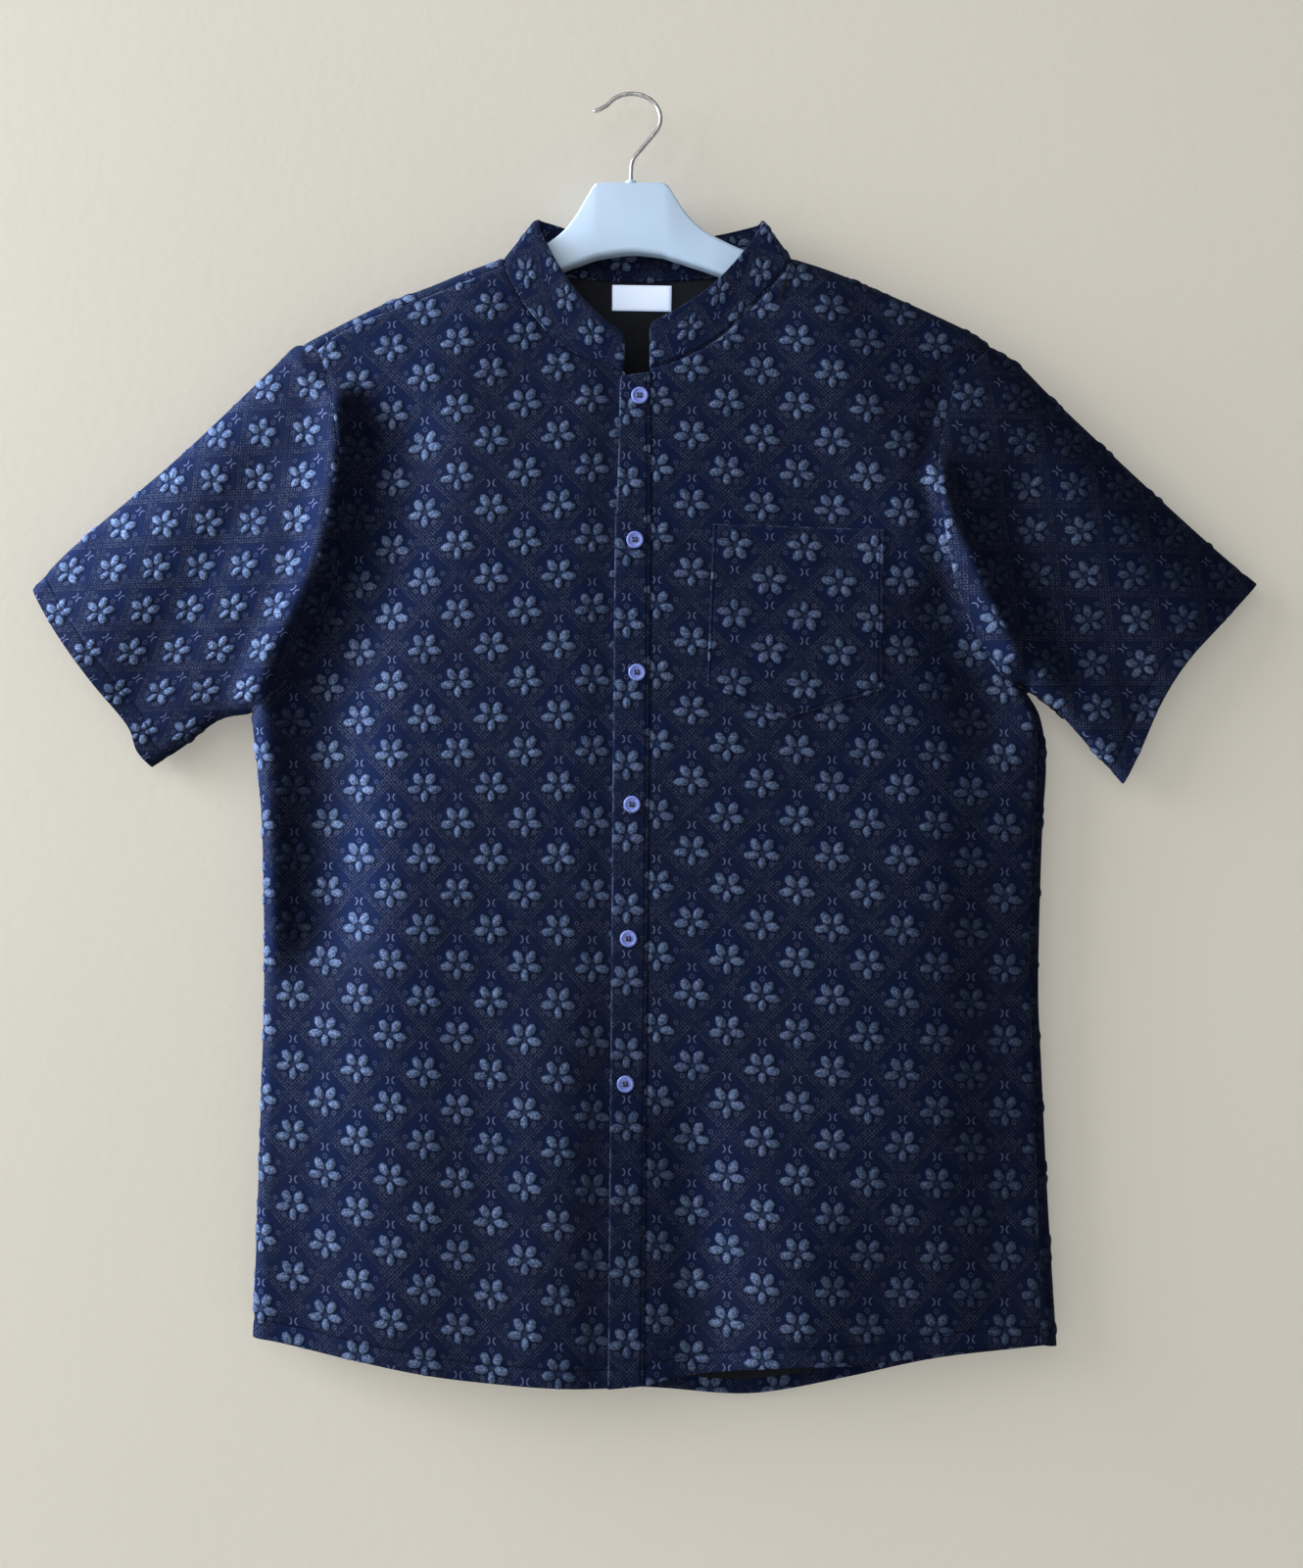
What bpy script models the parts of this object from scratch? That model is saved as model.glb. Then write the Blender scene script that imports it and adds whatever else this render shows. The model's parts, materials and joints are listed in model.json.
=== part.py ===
"""Mandarin collar shirt with short sleeves, buttoned, hanging from a plastic hanger.

Millimetres throughout, turned into metres as each mesh is made. X runs across the
shirt, -Y is its front, +Z is up, and the origin is the inner top of the hanger's hook,
where it bears on a peg. West is -X, the wearer's right; east is +X, the wearer's left.

The shirt hangs nearly flat. Its outline is drawn in the XZ plane, and two skins bulge
from that plane, one to the front and one to the back. They meet in round folds along
the shoulders, the sleeves and the sides, and stay apart at the neck, cuffs and hem.
Every cloth piece is an area of a skin, cut along its seams and given a wall.
"""

import math

import bpy
import numpy as np
from mathutils import Vector
from mathutils.geometry import delaunay_2d_cdt

# Cloth
WALL = 1.6              # one layer of the quilted cloth
BAND_WALL = 1.8         # the folded button band
COLLAR_WALL = 3.0       # two layers and their interlining
POCKET_WALL = 1.4
LABEL_WALL = 1.0
SEAM_GAP = 0.3          # clear space between neighbouring pieces
LIE_GAP = 0.3           # clear space under a piece that lies on another
BAND_LIFT = 0.9         # the band's face stands above the front's
UNDERLAP_SINK = 1.35    # the right front passes this far below, behind the band
UNDERLAP_RUN = 26.0     # width over which it sinks
FLOWER_RAISE = 1.2      # puff of the cloth at the middle of each woven flower

# Buttons
BUTTON_RADIUS = 5.7
BUTTON_HEIGHT = 2.2
BUTTON_STEPS = 16

# Hook
HOOK_WIRE = 1.5         # radius of the steel wire
HOOK_MIDDLE = (-1.5, -15.2)
HOOK_HALF_WIDTH = 19.6
HOOK_HALF_HEIGHT = 16.7

# Mesh spacing
ROLL_ROWS = (1.5, 5.5)  # rows of points along a round fold, measured in from it
LATTICE_MARGIN = 11.0

# The outline of the hanging shirt, (x, z). Each line starts at its upper end, and its
# points are joined by a smooth curve.
RIDGE_WEST = [(-88.7, -111.3), (-112, -119.3), (-138, -130), (-170, -142), (-204, -158.7),
              (-224, -169.3)]
RIDGE_EAST = [(107.3, -110.7), (138.7, -121.3), (186, -141.3), (229, -161.3),
              (242.7, -170.7)]
SIDE_WEST = [(-260.4, -420.2), (-255.3, -466.7), (-252.7, -508), (-251.6, -601),
             (-254, -688), (-257.3, -788), (-259.4, -843.3)]
SIDE_EAST = [(266.3, -404.2), (276.7, -423), (280.7, -454.7), (278, -501.3),
             (275.3, -601.3), (277.5, -661.3), (282, -754.7), (288, -850)]
SLEEVE_TOP_WEST = [(-224, -169.3), (-232, -171.5), (-248, -187.5), (-310, -244.5),
                   (-383, -304.3), (-412, -334)]
SLEEVE_TOP_EAST = [(242.7, -170.7), (262, -183), (287, -207.4), (337.5, -253.3),
                   (396.7, -305.6), (427, -330.6)]
UNDERARM_WEST = [(-260.4, -420.2), (-283, -424.6), (-307.5, -442.6), (-329.5, -456.5)]
UNDERARM_EAST = [(266.3, -404.2), (287, -417.2), (314, -446.3), (334, -468)]
CUFF_WEST = [(-412, -334), (-395, -362), (-368.7, -398.2), (-344.5, -428.3),
             (-338.6, -445), (-329.5, -456.5)]
CUFF_EAST = [(427, -330.6), (398.5, -360), (375, -385.5), (358.5, -412.6),
             (344, -446), (334, -468)]
ARMHOLE_FRONT_WEST = [(-224, -169.3), (-213.9, -175.6), (-203.8, -203), (-198.3, -239.7),
                      (-194, -270.3), (-194, -302.7), (-205.8, -346.6), (-232.7, -396.5),
                      (-260.4, -420.2)]
ARMHOLE_FRONT_EAST = [(242.7, -170.7), (226, -188), (215.4, -202.3), (204.9, -245),
                      (204.9, -274.5), (217.3, -336.8), (244.5, -389.5), (266.3, -404.2)]
ARMHOLE_BACK_WEST = [(-224, -169.3), (-212, -192), (-205, -225), (-204, -262),
                     (-212, -330), (-232, -385), (-260.4, -420.2)]
ARMHOLE_BACK_EAST = [(242.7, -170.7), (229, -195), (220, -228), (218, -264),
                     (224, -330), (243, -381), (266.3, -404.2)]
SHOULDER_SEAM_WEST = [(-87.4, -118), (-136, -138.3), (-188.6, -158.2), (-213.9, -175.6)]
SIDE_SEAM_EAST = [(266.3, -404.2), (271.6, -422), (273.4, -450), (269.5, -541),
                  (268.5, -600), (272, -700), (276.3, -847.8)]
BAND_WEST = [(-5.6, -194.9), (-8.8, -199), (-9.7, -236), (-11.2, -283.7), (-12.7, -322),
             (-15.3, -640), (-17.3, -873.6)]
BAND_EAST = [(10.8, -192.9), (11.3, -293), (9.4, -560), (6.8, -871.6)]
HEM_FRONT_WEST = [(-259.4, -843.3), (-240.3, -845.6), (-190.4, -855.2), (-120.7, -867.3),
                  (-55.7, -872.3), (-17.3, -873.6)]
HEM_BAND = [(-17.3, -873.6), (6.8, -871.6)]
HEM_FRONT_EAST = [(6.8, -871.6), (25, -867.5), (61.3, -862), (100.7, -858), (164.4, -856.1),
                  (220.9, -849.1), (276.3, -847.8)]
HEM_TURN_EAST = [(276.3, -847.8), (288, -850)]
HEM_BACK = [(-259.4, -843.3), (-200, -855), (-120, -869), (-40, -877), (20, -880.5),
            (81.4, -885), (146.8, -873), (215, -859), (288, -850)]
BAND_TOP = [(-6.3, -191.8), (-5.6, -194.9)]
BAND_CREST = [(-5.6, -194.9), (10.8, -192.9)]
POCKET = [(53.2, -294.2), (167.3, -297.8), (166.6, -405), (102.3, -424.5), (49, -402.4)]
LABEL = [(-14.9, -126.2), (25.8, -126.8), (25.5, -144.6), (-14.9, -143.9)]

# The collar from its west end at the centre front, round the back, to its east end.
# skin: where its base is sewn. base_x, base_z: the neckline. top_x, top_y, top_z: its rim.
COLLAR = [
    # skin,   base_x, base_z, top_x, top_y, top_z
    ("front", -6.3, -191.8, -5.7, -22.0, -166.4),
    ("front", -30.5, -184.6, -23.3, -23.0, -153.9),
    ("front", -52.9, -170.4, -39.1, -21.0, -136.3),
    ("front", -70.2, -151.0, -50.5, -17.0, -118.8),
    ("front", -81.8, -131.3, -59.3, -11.5, -101.5),
    ("front", -87.4, -118.0, -65.2, -5.5, -88.4),
    ("fold", -88.7, -111.3, -66.0, 0.5, -83.6),
    ("back", -78.6, -113.8, -60.4, 8.5, -83.6),
    ("back", -46.0, -120.2, -31.8, 14.0, -90.5),
    ("back", 5.3, -124.2, 8.6, 16.0, -93.9),
    ("back", 57.8, -120.2, 49.1, 14.0, -92.5),
    ("back", 97.2, -113.8, 82.6, 8.5, -86.4),
    ("fold", 107.3, -110.7, 88.0, 0.5, -84.2),
    ("front", 105.0, -116.5, 87.0, -5.5, -89.0),
    ("front", 98.0, -127.4, 80.1, -10.0, -99.7),
    ("front", 79.8, -148.2, 67.9, -16.0, -116.6),
    ("front", 57.9, -168.9, 51.4, -20.0, -134.4),
    ("front", 33.6, -183.1, 31.6, -22.0, -148.4),
    ("front", 10.8, -190.3, 10.7, -22.0, -159.5),
]
COLLAR_ROWS = (0.0, 0.3, 0.68, 1.0)

# The roundness of each fold: depth and reach of the quick curve at its edge, then the
# depth and reach of the slow swell of the skin behind it.
FOLD_LINES = [
    # line, roll depth front, reach front, roll depth back, reach back, swell, swell reach
    ("ridge_west", RIDGE_WEST, 10.0, 10.0, 10.0, 10.0, 18.0, 70.0),
    ("ridge_east", RIDGE_EAST, 10.0, 10.0, 10.0, 10.0, 18.0, 70.0),
    ("side_west", SIDE_WEST, 6.0, 9.0, 5.0, 9.0, 20.0, 70.0),
    ("side_east", SIDE_EAST, 6.0, 9.0, 5.0, 9.0, 20.0, 70.0),
    ("sleeve_top_west", SLEEVE_TOP_WEST, 6.5, 8.0, 7.0, 8.0, 13.0, 60.0),
    ("sleeve_top_east", SLEEVE_TOP_EAST, 6.5, 8.0, 7.0, 8.0, 13.0, 60.0),
    ("underarm_west", UNDERARM_WEST, 5.0, 8.0, 5.0, 8.0, 12.0, 60.0),
    ("underarm_east", UNDERARM_EAST, 5.0, 8.0, 5.0, 8.0, 12.0, 60.0),
]
FOLD_STEP = 25.0
NECK_REACH = 40.0       # the shoulders' roundness runs on this far into the neck
BACK_SWELL = 0.22       # the back lies flatter than the front, by this factor
HEM_FLATTEN = 0.35      # share of the swell lost at the hem
SLEEVE_LEAN = 11.0      # the cuffs lie this far back, toward the wall

# The large soft creases, each a straight crest or trough. height is out of the cloth.
CREASES = [
    # skin,  x1,   z1,   x2,   z2,  half_width, height
    ("front", -216, -285, -262, -392, 21, 11.0),
    ("front", -196, -330, -236, -425, 30, -9.0),
    ("front", 231, -318, 279, -398, 19, 7.0),
    ("front", 214, -352, 243, -430, 24, -5.0),
    ("front", -110, -150, -178, -330, 34, 2.5),
    ("front", 128, -150, 190, -310, 34, 2.5),
    ("front", -218, -500, -226, -830, 30, -3.0),
    ("front", -160, -560, -150, -862, 36, 2.0),
    ("front", -50, -640, -62, -875, 34, 3.5),
    ("front", 40, -700, 46, -868, 26, -4.0),
    ("front", 110, -790, 112, -868, 48, 6.0),
    ("front", 236, -470, 248, -820, 28, -3.0),
    ("front", -245, -205, -368, -352, 26, 2.5),
    ("front", -250, -262, -335, -405, 22, -3.0),
    ("front", 262, -210, 384, -342, 26, 2.5),
    ("front", 262, -270, 345, -408, 22, -3.0),
    ("back", -215, -285, -258, -392, 22, 6.0),
    ("back", 226, -285, 270, -390, 22, 6.0),
    ("back", -100, -150, -170, -420, 40, 2.5),
    ("back", 112, -150, 180, -420, 40, 2.5),
    ("back", 10, -170, 8, -760, 60, -2.5),
    ("back", -150, -520, -170, -850, 40, 2.5),
    ("back", 165, -520, 185, -850, 40, 2.5),
    ("back", 90, -800, 84, -884, 42, 3.0),
]

# Where the woven flowers stand. Body rows lie half a flower apart and open a little
# toward the hem; on the sleeves, cut with the grain along the arm, they look square.
LATTICES = {
    # cloth: middle_x, middle_z, half step x, half step z at the top, and at the hem
    "front_west": (-95.1, -328.6, 23.2, 23.4, 25.2),
    "front_east": (133.0, -283.0, 23.6, 23.0, 25.3),
    "back": (5.3, -208.0, 23.4, 23.6, 24.8),
    "pocket": (99.0, -347.0, 23.4, 23.4, 23.4),
    "sleeve_west": (-299.3, -318.5, 15.8, 15.2, 15.2),
    "sleeve_east": (283.0, -295.0, 15.8, 15.2, 15.2),
}
LATTICE_TOP = -120.0
LATTICE_FALL = 750.0

BUTTONS = [
    # x, z
    (4.2, -209.0), (1.0, -305.0), (2.3, -393.4), (-1.0, -481.6), (-3.3, -571.2),
    (-5.5, -667.9),
]

# The hanger's body, station by station from west to east.
HANGER = [
    # x,    top_z,  low_z, half thickness
    (-213, -170.0, -173.5, 2.6), (-209, -167.4, -175.2, 4.4), (-200, -162.6, -174.8, 5.2),
    (-170, -147.4, -162.0, 5.5), (-138, -134.8, -152.0, 5.6), (-112, -124.6, -143.5, 5.6),
    (-88, -118.4, -136.0, 5.8), (-71, -108.6, -128.5, 6.6), (-58, -100.9, -123.0, 7.0),
    (-48.7, -93.8, -119.5, 7.0), (-42.6, -87.0, -117.0, 7.0), (-36.5, -77.9, -114.8, 7.0),
    (-30.4, -67.2, -112.6, 7.0), (-26.4, -61.4, -111.2, 7.0), (-22, -60.4, -110.2, 7.0),
    (-2, -60.4, -107.6, 7.0), (17, -60.4, -109.2, 7.0), (22.4, -61.6, -110.4, 7.0),
    (26.5, -67.0, -111.8, 7.0), (32.5, -76.8, -113.6, 7.0), (39.6, -85.5, -116.0, 7.0),
    (48.7, -93.1, -119.0, 7.0), (57.9, -98.4, -122.3, 7.0), (75.4, -106.2, -128.5, 6.6),
    (107.5, -117.2, -138.0, 5.8), (138.7, -126.4, -147.0, 5.6), (186, -146.8, -164.0, 5.6),
    (203, -156.0, -172.0, 5.4), (211, -161.4, -172.5, 4.4), (215, -165.8, -170.5, 2.4),
]
HANGER_CORNER = 5.0
HANGER_CORNER_STEPS = 2

COLOURS = {
    # kind: colour, roughness, metallic
    "cloth": ((0.0105, 0.0150, 0.0420, 1.0), 0.88, 0.0),
    "button": ((0.165, 0.210, 0.680, 1.0), 0.35, 0.0),
    "label": ((0.800, 0.790, 0.780, 1.0), 0.75, 0.0),
    "hanger": ((0.560, 0.640, 0.770, 1.0), 0.42, 0.0),
    "steel": ((0.620, 0.600, 0.570, 1.0), 0.25, 1.0),
}


# Lines in the outline's plane

def rounded(table, count=24):
    """A Catmull-Rom curve through the table's points, count steps to a span."""
    points = np.array(table, float)
    before = np.vstack([2 * points[0] - points[1], points, 2 * points[-1] - points[-2]])
    share = np.linspace(0.0, 1.0, count, endpoint=False)[:, None]
    fine = []
    for a, b, c, d in zip(before[:-3], before[1:-2], before[2:-1], before[3:]):
        fine.append(0.5 * (2 * b + (c - a) * share + (2 * a - 5 * b + 4 * c - d) * share ** 2
                           + (3 * b - a - 3 * c + d) * share ** 3))
    return np.vstack(fine + [points[-1:]])


def smooth_line(table, step, ends=(False, False)):
    """Points at most step apart on the rounded curve through the table's points.

    ends asks for the fold rows' close points where the line leaves a round fold.
    """
    fine = rounded(table)
    run = np.concatenate([[0.0], np.cumsum(np.linalg.norm(np.diff(fine, axis=0), axis=1))])
    count = max(1, math.ceil(run[-1] / step))
    stops = list(np.linspace(0.0, run[-1], count + 1))
    for wanted, near in zip(ends, (lambda r: r, lambda r: run[-1] - r)):
        if wanted:
            rows = [near(r) for r in ROLL_ROWS]
            stops = [s for s in stops if s in (0.0, run[-1])
                     or min(abs(s - r) for r in rows) > 0.3 * step] + rows
    stops = np.array(sorted(stops))
    return np.column_stack([np.interp(stops, run, fine[:, k]) for k in (0, 1)])


def segment_distance(points, line):
    """Distance of each point to each segment of a line."""
    a, b = line[:-1], line[1:]
    along = b - a
    length = np.maximum((along ** 2).sum(1), 1e-12)
    share = ((points[:, None] - a[None]) * along[None]).sum(2) / length
    foot = a[None] + np.clip(share, 0.0, 1.0)[..., None] * along[None]
    return np.linalg.norm(points[:, None] - foot, axis=2)


def line_distance(points, line):
    return segment_distance(points, line).min(1)


def inside(points, polygon):
    """Whether each point lies in a closed polygon, by counting crossings."""
    x, z = points[:, :1], points[:, 1:]
    ax, az = polygon[:, 0], polygon[:, 1]
    bx, bz = np.roll(ax, -1), np.roll(az, -1)
    cross = (az > z) != (bz > z)
    at = ax + (z - az) * (bx - ax) / np.where(bz == az, 1.0, bz - az)
    return (cross & (x < at)).sum(1) % 2 == 1


# The two skins

class Fold:
    """A round fold where the front skin turns into the back one."""

    def __init__(self, name, table, *shape):
        self.name = name
        self.line = smooth_line(table, FOLD_STEP)
        self.field = self.line
        if name.startswith("ridge"):
            on = self.line[0] - self.line[1]
            on = self.line[0] + on / np.linalg.norm(on) * NECK_REACH
            self.field = np.vstack([on, self.line])
        self.front, self.back = shape[0:2], shape[2:4]
        self.swell, self.reach = shape[4:6]
        step = np.diff(self.field, axis=0)
        normal = np.column_stack([-step[:, 1], step[:, 0]])
        normal /= np.linalg.norm(normal, axis=1)[:, None]
        if "side" in name:
            inward = normal[:, 0] * self.line[0, 0] < 0
        else:
            inward = (normal[:, 1] > 0) == ("underarm" in name)
        self.normal = np.where(inward[:, None], -normal, normal)

    def outward(self, points):
        """Direction out of the outline, blended over the nearest segments."""
        weight = 1.0 / (segment_distance(points, self.field) + 0.05) ** 4
        out = weight @ self.normal
        return out / np.linalg.norm(out, axis=1)[:, None]


FOLDS = [Fold(*row) for row in FOLD_LINES]


def ease(value):
    value = np.clip(value, 0.0, 1.0)
    return value * value * (3.0 - 2.0 * value)


def fold_blend(points):
    """Soft distance to the folds, and each fold's weight there."""
    each = np.array([line_distance(points, fold.field) for fold in FOLDS])
    power = 1.0 / np.maximum(each, 1e-6) ** 4
    total = power.sum(0)
    return total ** -0.25, power / total, each


def creases(points, skin, distance):
    """Sum of the soft crests and troughs, fading out at the folds."""
    height = np.zeros(len(points))
    for kind, x1, z1, x2, z2, half_width, rise in CREASES:
        if kind == skin:
            away = line_distance(points, np.array([(x1, z1), (x2, z2)], float))
            height += rise * np.exp(-(away / half_width) ** 2)
    return height * (1.0 - np.exp(-distance / 9.0))


def middle(points):
    """Y of the outline's plane: flat on the body, leaning back along the sleeves."""
    x = points[:, 0]
    west = ease((-225.0 - x) / 187.0)
    east = ease((x - 243.0) / 184.0)
    return SLEEVE_LEAN * (west + east)


def skin_y(points, skin):
    distance, weight, _ = fold_blend(points)
    shape = [fold.front if skin == "front" else fold.back for fold in FOLDS]
    roll = weight.T @ np.array([s[0] for s in shape])
    reach = weight.T @ np.array([s[1] for s in shape])
    swell = weight.T @ np.array([fold.swell for fold in FOLDS])
    far = weight.T @ np.array([fold.reach for fold in FOLDS])
    near = 1.0 - np.minimum(distance / reach, 1.0)
    hem = 1.0 - HEM_FLATTEN * ease((-690.0 - points[:, 1]) / 180.0)
    share = 1.0 if skin == "front" else BACK_SWELL
    depth = (roll * np.sqrt(1.0 - near ** 2)
             + share * hem * swell * (1.0 - np.exp(-distance / far))
             + creases(points, skin, distance))
    return middle(points) + (-depth if skin == "front" else depth)


def skin_point(points, skin, shift=0.0):
    """Place and outward normal of points of the outline's plane, on a skin."""
    points = np.asarray(points, float)
    y = skin_y(points, skin) + shift
    step = 0.1
    slope = [(skin_y(points + np.array(d) * step, skin)
              - skin_y(points - np.array(d) * step, skin)) / (2 * step)
             for d in ((1.0, 0.0), (0.0, 1.0))]
    sign = 1.0 if skin == "front" else -1.0
    normal = np.column_stack([sign * slope[0], np.full(len(y), -sign), sign * slope[1]])
    normal /= np.linalg.norm(normal, axis=1)[:, None]
    _, _, each = fold_blend(points)
    nearest = each.argmin(0)
    for number, fold in enumerate(FOLDS):
        edge = (nearest == number) & (each[number] < 0.35)
        if edge.any():
            out = fold.outward(points[edge])
            normal[edge] = np.column_stack([out[:, 0], np.zeros(len(out)), out[:, 1]])
    return np.column_stack([points[:, 0], y, points[:, 1]]), normal


# Flat pieces, cut along their seams

SEAM, WIDE, FOLD, EDGE = "seam", "wide", "fold", "edge"
DRAW_IN = {SEAM: SEAM_GAP / 2, WIDE: 1.5 * SEAM_GAP, FOLD: 0.0, EDGE: 0.0}


def outline(*runs):
    """A closed polygon from (kind, line) runs, its seams drawn in by half a gap."""
    points, kinds = [], []
    for kind, line in runs:
        for point in line[:-1]:
            points.append(point)
            kinds.append(kind)
    points = np.array(points)
    after = np.roll(points, -1, axis=0)
    area = (points[:, 0] * after[:, 1] - after[:, 0] * points[:, 1]).sum()
    if area < 0:
        points, kinds = points[::-1], (kinds[::-1][1:] + kinds[::-1][:1])
        after = np.roll(points, -1, axis=0)
    step = after - points
    normal = np.column_stack([-step[:, 1], step[:, 0]])
    normal /= np.linalg.norm(normal, axis=1)[:, None]
    draw = np.array([DRAW_IN[kind] for kind in kinds])
    moved = []
    for i in range(len(points)):
        n1, n2, g1, g2 = normal[i - 1], normal[i], draw[i - 1], draw[i]
        cross = n1[0] * n2[1] - n1[1] * n2[0]
        if abs(cross) < 0.05:
            shift = (n1 + n2) / 2 * max(g1, g2)
        else:
            shift = np.array([(g1 * n2[1] - g2 * n1[1]) / cross,
                              (g2 * n1[0] - g1 * n2[0]) / cross])
        moved.append(points[i] + shift)
    return np.array(moved), kinds


def lattice_points(name, square):
    """Middles of the flowers (raised) and the points halfway between them (plain)."""
    x0, z0, step_x, top_step, low_step = LATTICES[name]
    growth = (low_step - top_step) / LATTICE_FALL
    rows = []
    for j in range(-40, 41):
        step_here = top_step + growth * (LATTICE_TOP - z0)
        fall = step_here * j if growth == 0 else step_here / growth * (
            math.exp(growth * j) - 1.0)
        z = z0 - fall
        for i in range(-30, 31):
            x = x0 + i * step_x
            if square:
                if (i + j) % 2 == 0:
                    rows.append((x, z, i % 2 == 0))
            else:
                rows.append((x, z, (i + j) % 2 == 0))
    rows = np.array(rows, float)
    return rows[:, :2], rows[:, 2] > 0.5


def cut(skin, border, lattice, square=False, drawn=(), patch=None):
    """Triangles of one flat area: its border, rows along folds, then the lattice.

    drawn: lines that the triangles must follow. patch: (polygon, lattice) of a piece
    that lies on this one, whose own lattice is used there.
    """
    polygon, kinds = border
    closed = np.vstack([polygon, polygon[:1]])
    per_edge = lambda pts: segment_distance(pts, closed)
    sewn = np.array([kind != FOLD for kind in kinds])
    loose, chains = [], []
    for fold in FOLDS:
        near = line_distance(fold.line, closed) < 0.3
        for row in ROLL_ROWS:
            points = fold.line[near] - fold.outward(fold.line[near]) * row
            if len(points) == 0:
                continue
            edges = per_edge(points)
            every = np.array([line_distance(points, other.line) for other in FOLDS])
            keep = (inside(points, polygon) & (every.min(0) > 0.9 * row)
                    & (edges[:, sewn].min(1) > 4.0))
            for number in range(len(points) - 1):
                if keep[number] and keep[number + 1]:
                    chains.append(points[number:number + 2])
            loose += [(p, False) for p in points[keep]]
    fields = [(lattice, square, patch[0] if patch else None, False)]
    if patch:
        fields.append((patch[1], False, patch[0], True))
    for name, is_square, area, within in fields:
        points, raised = lattice_points(name, is_square)
        every = np.array([line_distance(points, fold.line) for fold in FOLDS]).min(0)
        keep = inside(points, polygon) & (every > LATTICE_MARGIN)
        keep &= per_edge(points).min(1) > 8.0
        for line in drawn:
            keep &= line_distance(points, line) > 6.5
        if area is not None:
            keep &= inside(points, area) == within
        loose += list(zip(points[keep], raised[keep]))
    places = [tuple(p) for p in polygon] + [tuple(p) for p, _ in loose]
    raised = [False] * len(polygon) + [bool(flag) for _, flag in loose]
    edges = []
    for line in list(drawn) + chains:
        last = None
        for point in line:
            gaps = np.linalg.norm(np.array(places) - point, axis=1)
            index = int(gaps.argmin())
            if gaps[index] > 0.6:
                places.append(tuple(point))
                raised.append(False)
                index = len(places) - 1
            if last is not None and last != index:
                edges.append((last, index))
            last = index
    result = delaunay_2d_cdt([Vector(p) for p in places], edges,
                             [list(range(len(polygon)))], 1, 1e-4)
    flat = np.array([tuple(v) for v in result[0]])
    flags = np.array([any(raised[k] for k in origin) for origin in result[3]])
    return {"skin": skin, "flat": flat, "raised": flags,
            "faces": [tuple(face) for face in result[2]]}


def assemble(areas, shift):
    """Join flat areas into one skin surface, welded where they share a fold.

    shift(points, skin) moves the surface along Y. Returns outer places, normals,
    raised flags, flat places and faces whose order faces out.
    """
    places, normals, raised, flats, faces = [], [], [], [], []
    for area in areas:
        spot, normal = skin_point(area["flat"], area["skin"])
        spot[:, 1] += shift(area["flat"], area["skin"])
        index = []
        for number in range(len(spot)):
            match = None
            if places and abs(normal[number][1]) < 1e-9:
                gaps = np.linalg.norm(np.array(places) - spot[number], axis=1)
                best = int(gaps.argmin())
                match = best if gaps[best] < 0.6 and abs(normals[best][1]) < 1e-9 else None
            if match is None:
                places.append(spot[number])
                normals.append(normal[number])
                raised.append(area["raised"][number])
                flats.append(area["flat"][number])
                match = len(places) - 1
            index.append(match)
        for a, b, c in area["faces"]:
            pa, pb, pc = (area["flat"][k] for k in (a, b, c))
            turn = ((pb[0] - pa[0]) * (pc[1] - pa[1]) - (pb[1] - pa[1]) * (pc[0] - pa[0]))
            toward_viewer = turn > 0
            order = (a, b, c) if toward_viewer == (area["skin"] == "front") else (a, c, b)
            face = tuple(index[k] for k in order)
            if len(set(face)) == 3:
                faces.append(face)
    return {"places": np.array(places), "normals": np.array(normals),
            "raised": np.array(raised), "flat": np.array(flats), "faces": faces}


# Solids

def material_for(name, kind):
    colour, roughness, metallic = COLOURS[kind]
    material = bpy.data.materials.new(name)
    material.diffuse_color = colour
    material.use_nodes = True
    shader = material.node_tree.nodes["Principled BSDF"]
    shader.inputs["Base Color"].default_value = colour
    shader.inputs["Roughness"].default_value = roughness
    shader.inputs["Metallic"].default_value = metallic
    return material


def add_mesh(name, kind, places, faces, smooth=True):
    mesh = bpy.data.meshes.new(name)
    mesh.from_pydata([tuple(p * 0.001) for p in np.asarray(places)], [], faces)
    mesh.materials.append(material_for(name, kind))
    if smooth:
        mesh.shade_smooth()
        mesh.set_sharp_from_angle(angle=math.radians(40))
    mesh.update()
    thing = bpy.data.objects.new(name, mesh)
    SHIRT.objects.link(thing)
    return thing


def wall(name, kind, surface, outer, inner, raised=0.0, faces=None, order=1):
    """A closed wall from a surface: outer and inner are lifts along the normals.

    raised lifts only the outer side's flower points, over a plain inside.
    """
    faces = surface["faces"] if faces is None else faces
    used = sorted({k for face in faces for k in face})
    place = {old: new for new, old in enumerate(used)}
    faces = [tuple(place[k] for k in face) for face in faces]
    spots, normals = surface["places"][used], surface["normals"][used]
    lift = outer + raised * surface["raised"][used]
    top = spots + normals * lift[:, None]
    low = spots + normals * inner
    count = len(used)
    edges = {(face[k], face[(k + 1) % 3]) for face in faces for k in range(3)}
    solid = list(faces) + [tuple(count + k for k in reversed(face)) for face in faces]
    for a, b in sorted(edges):
        if (b, a) not in edges:
            solid += [(b, a, count + a), (b, count + a, count + b)]
    return add_mesh(name, kind, np.vstack([top, low]), solid)


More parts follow.
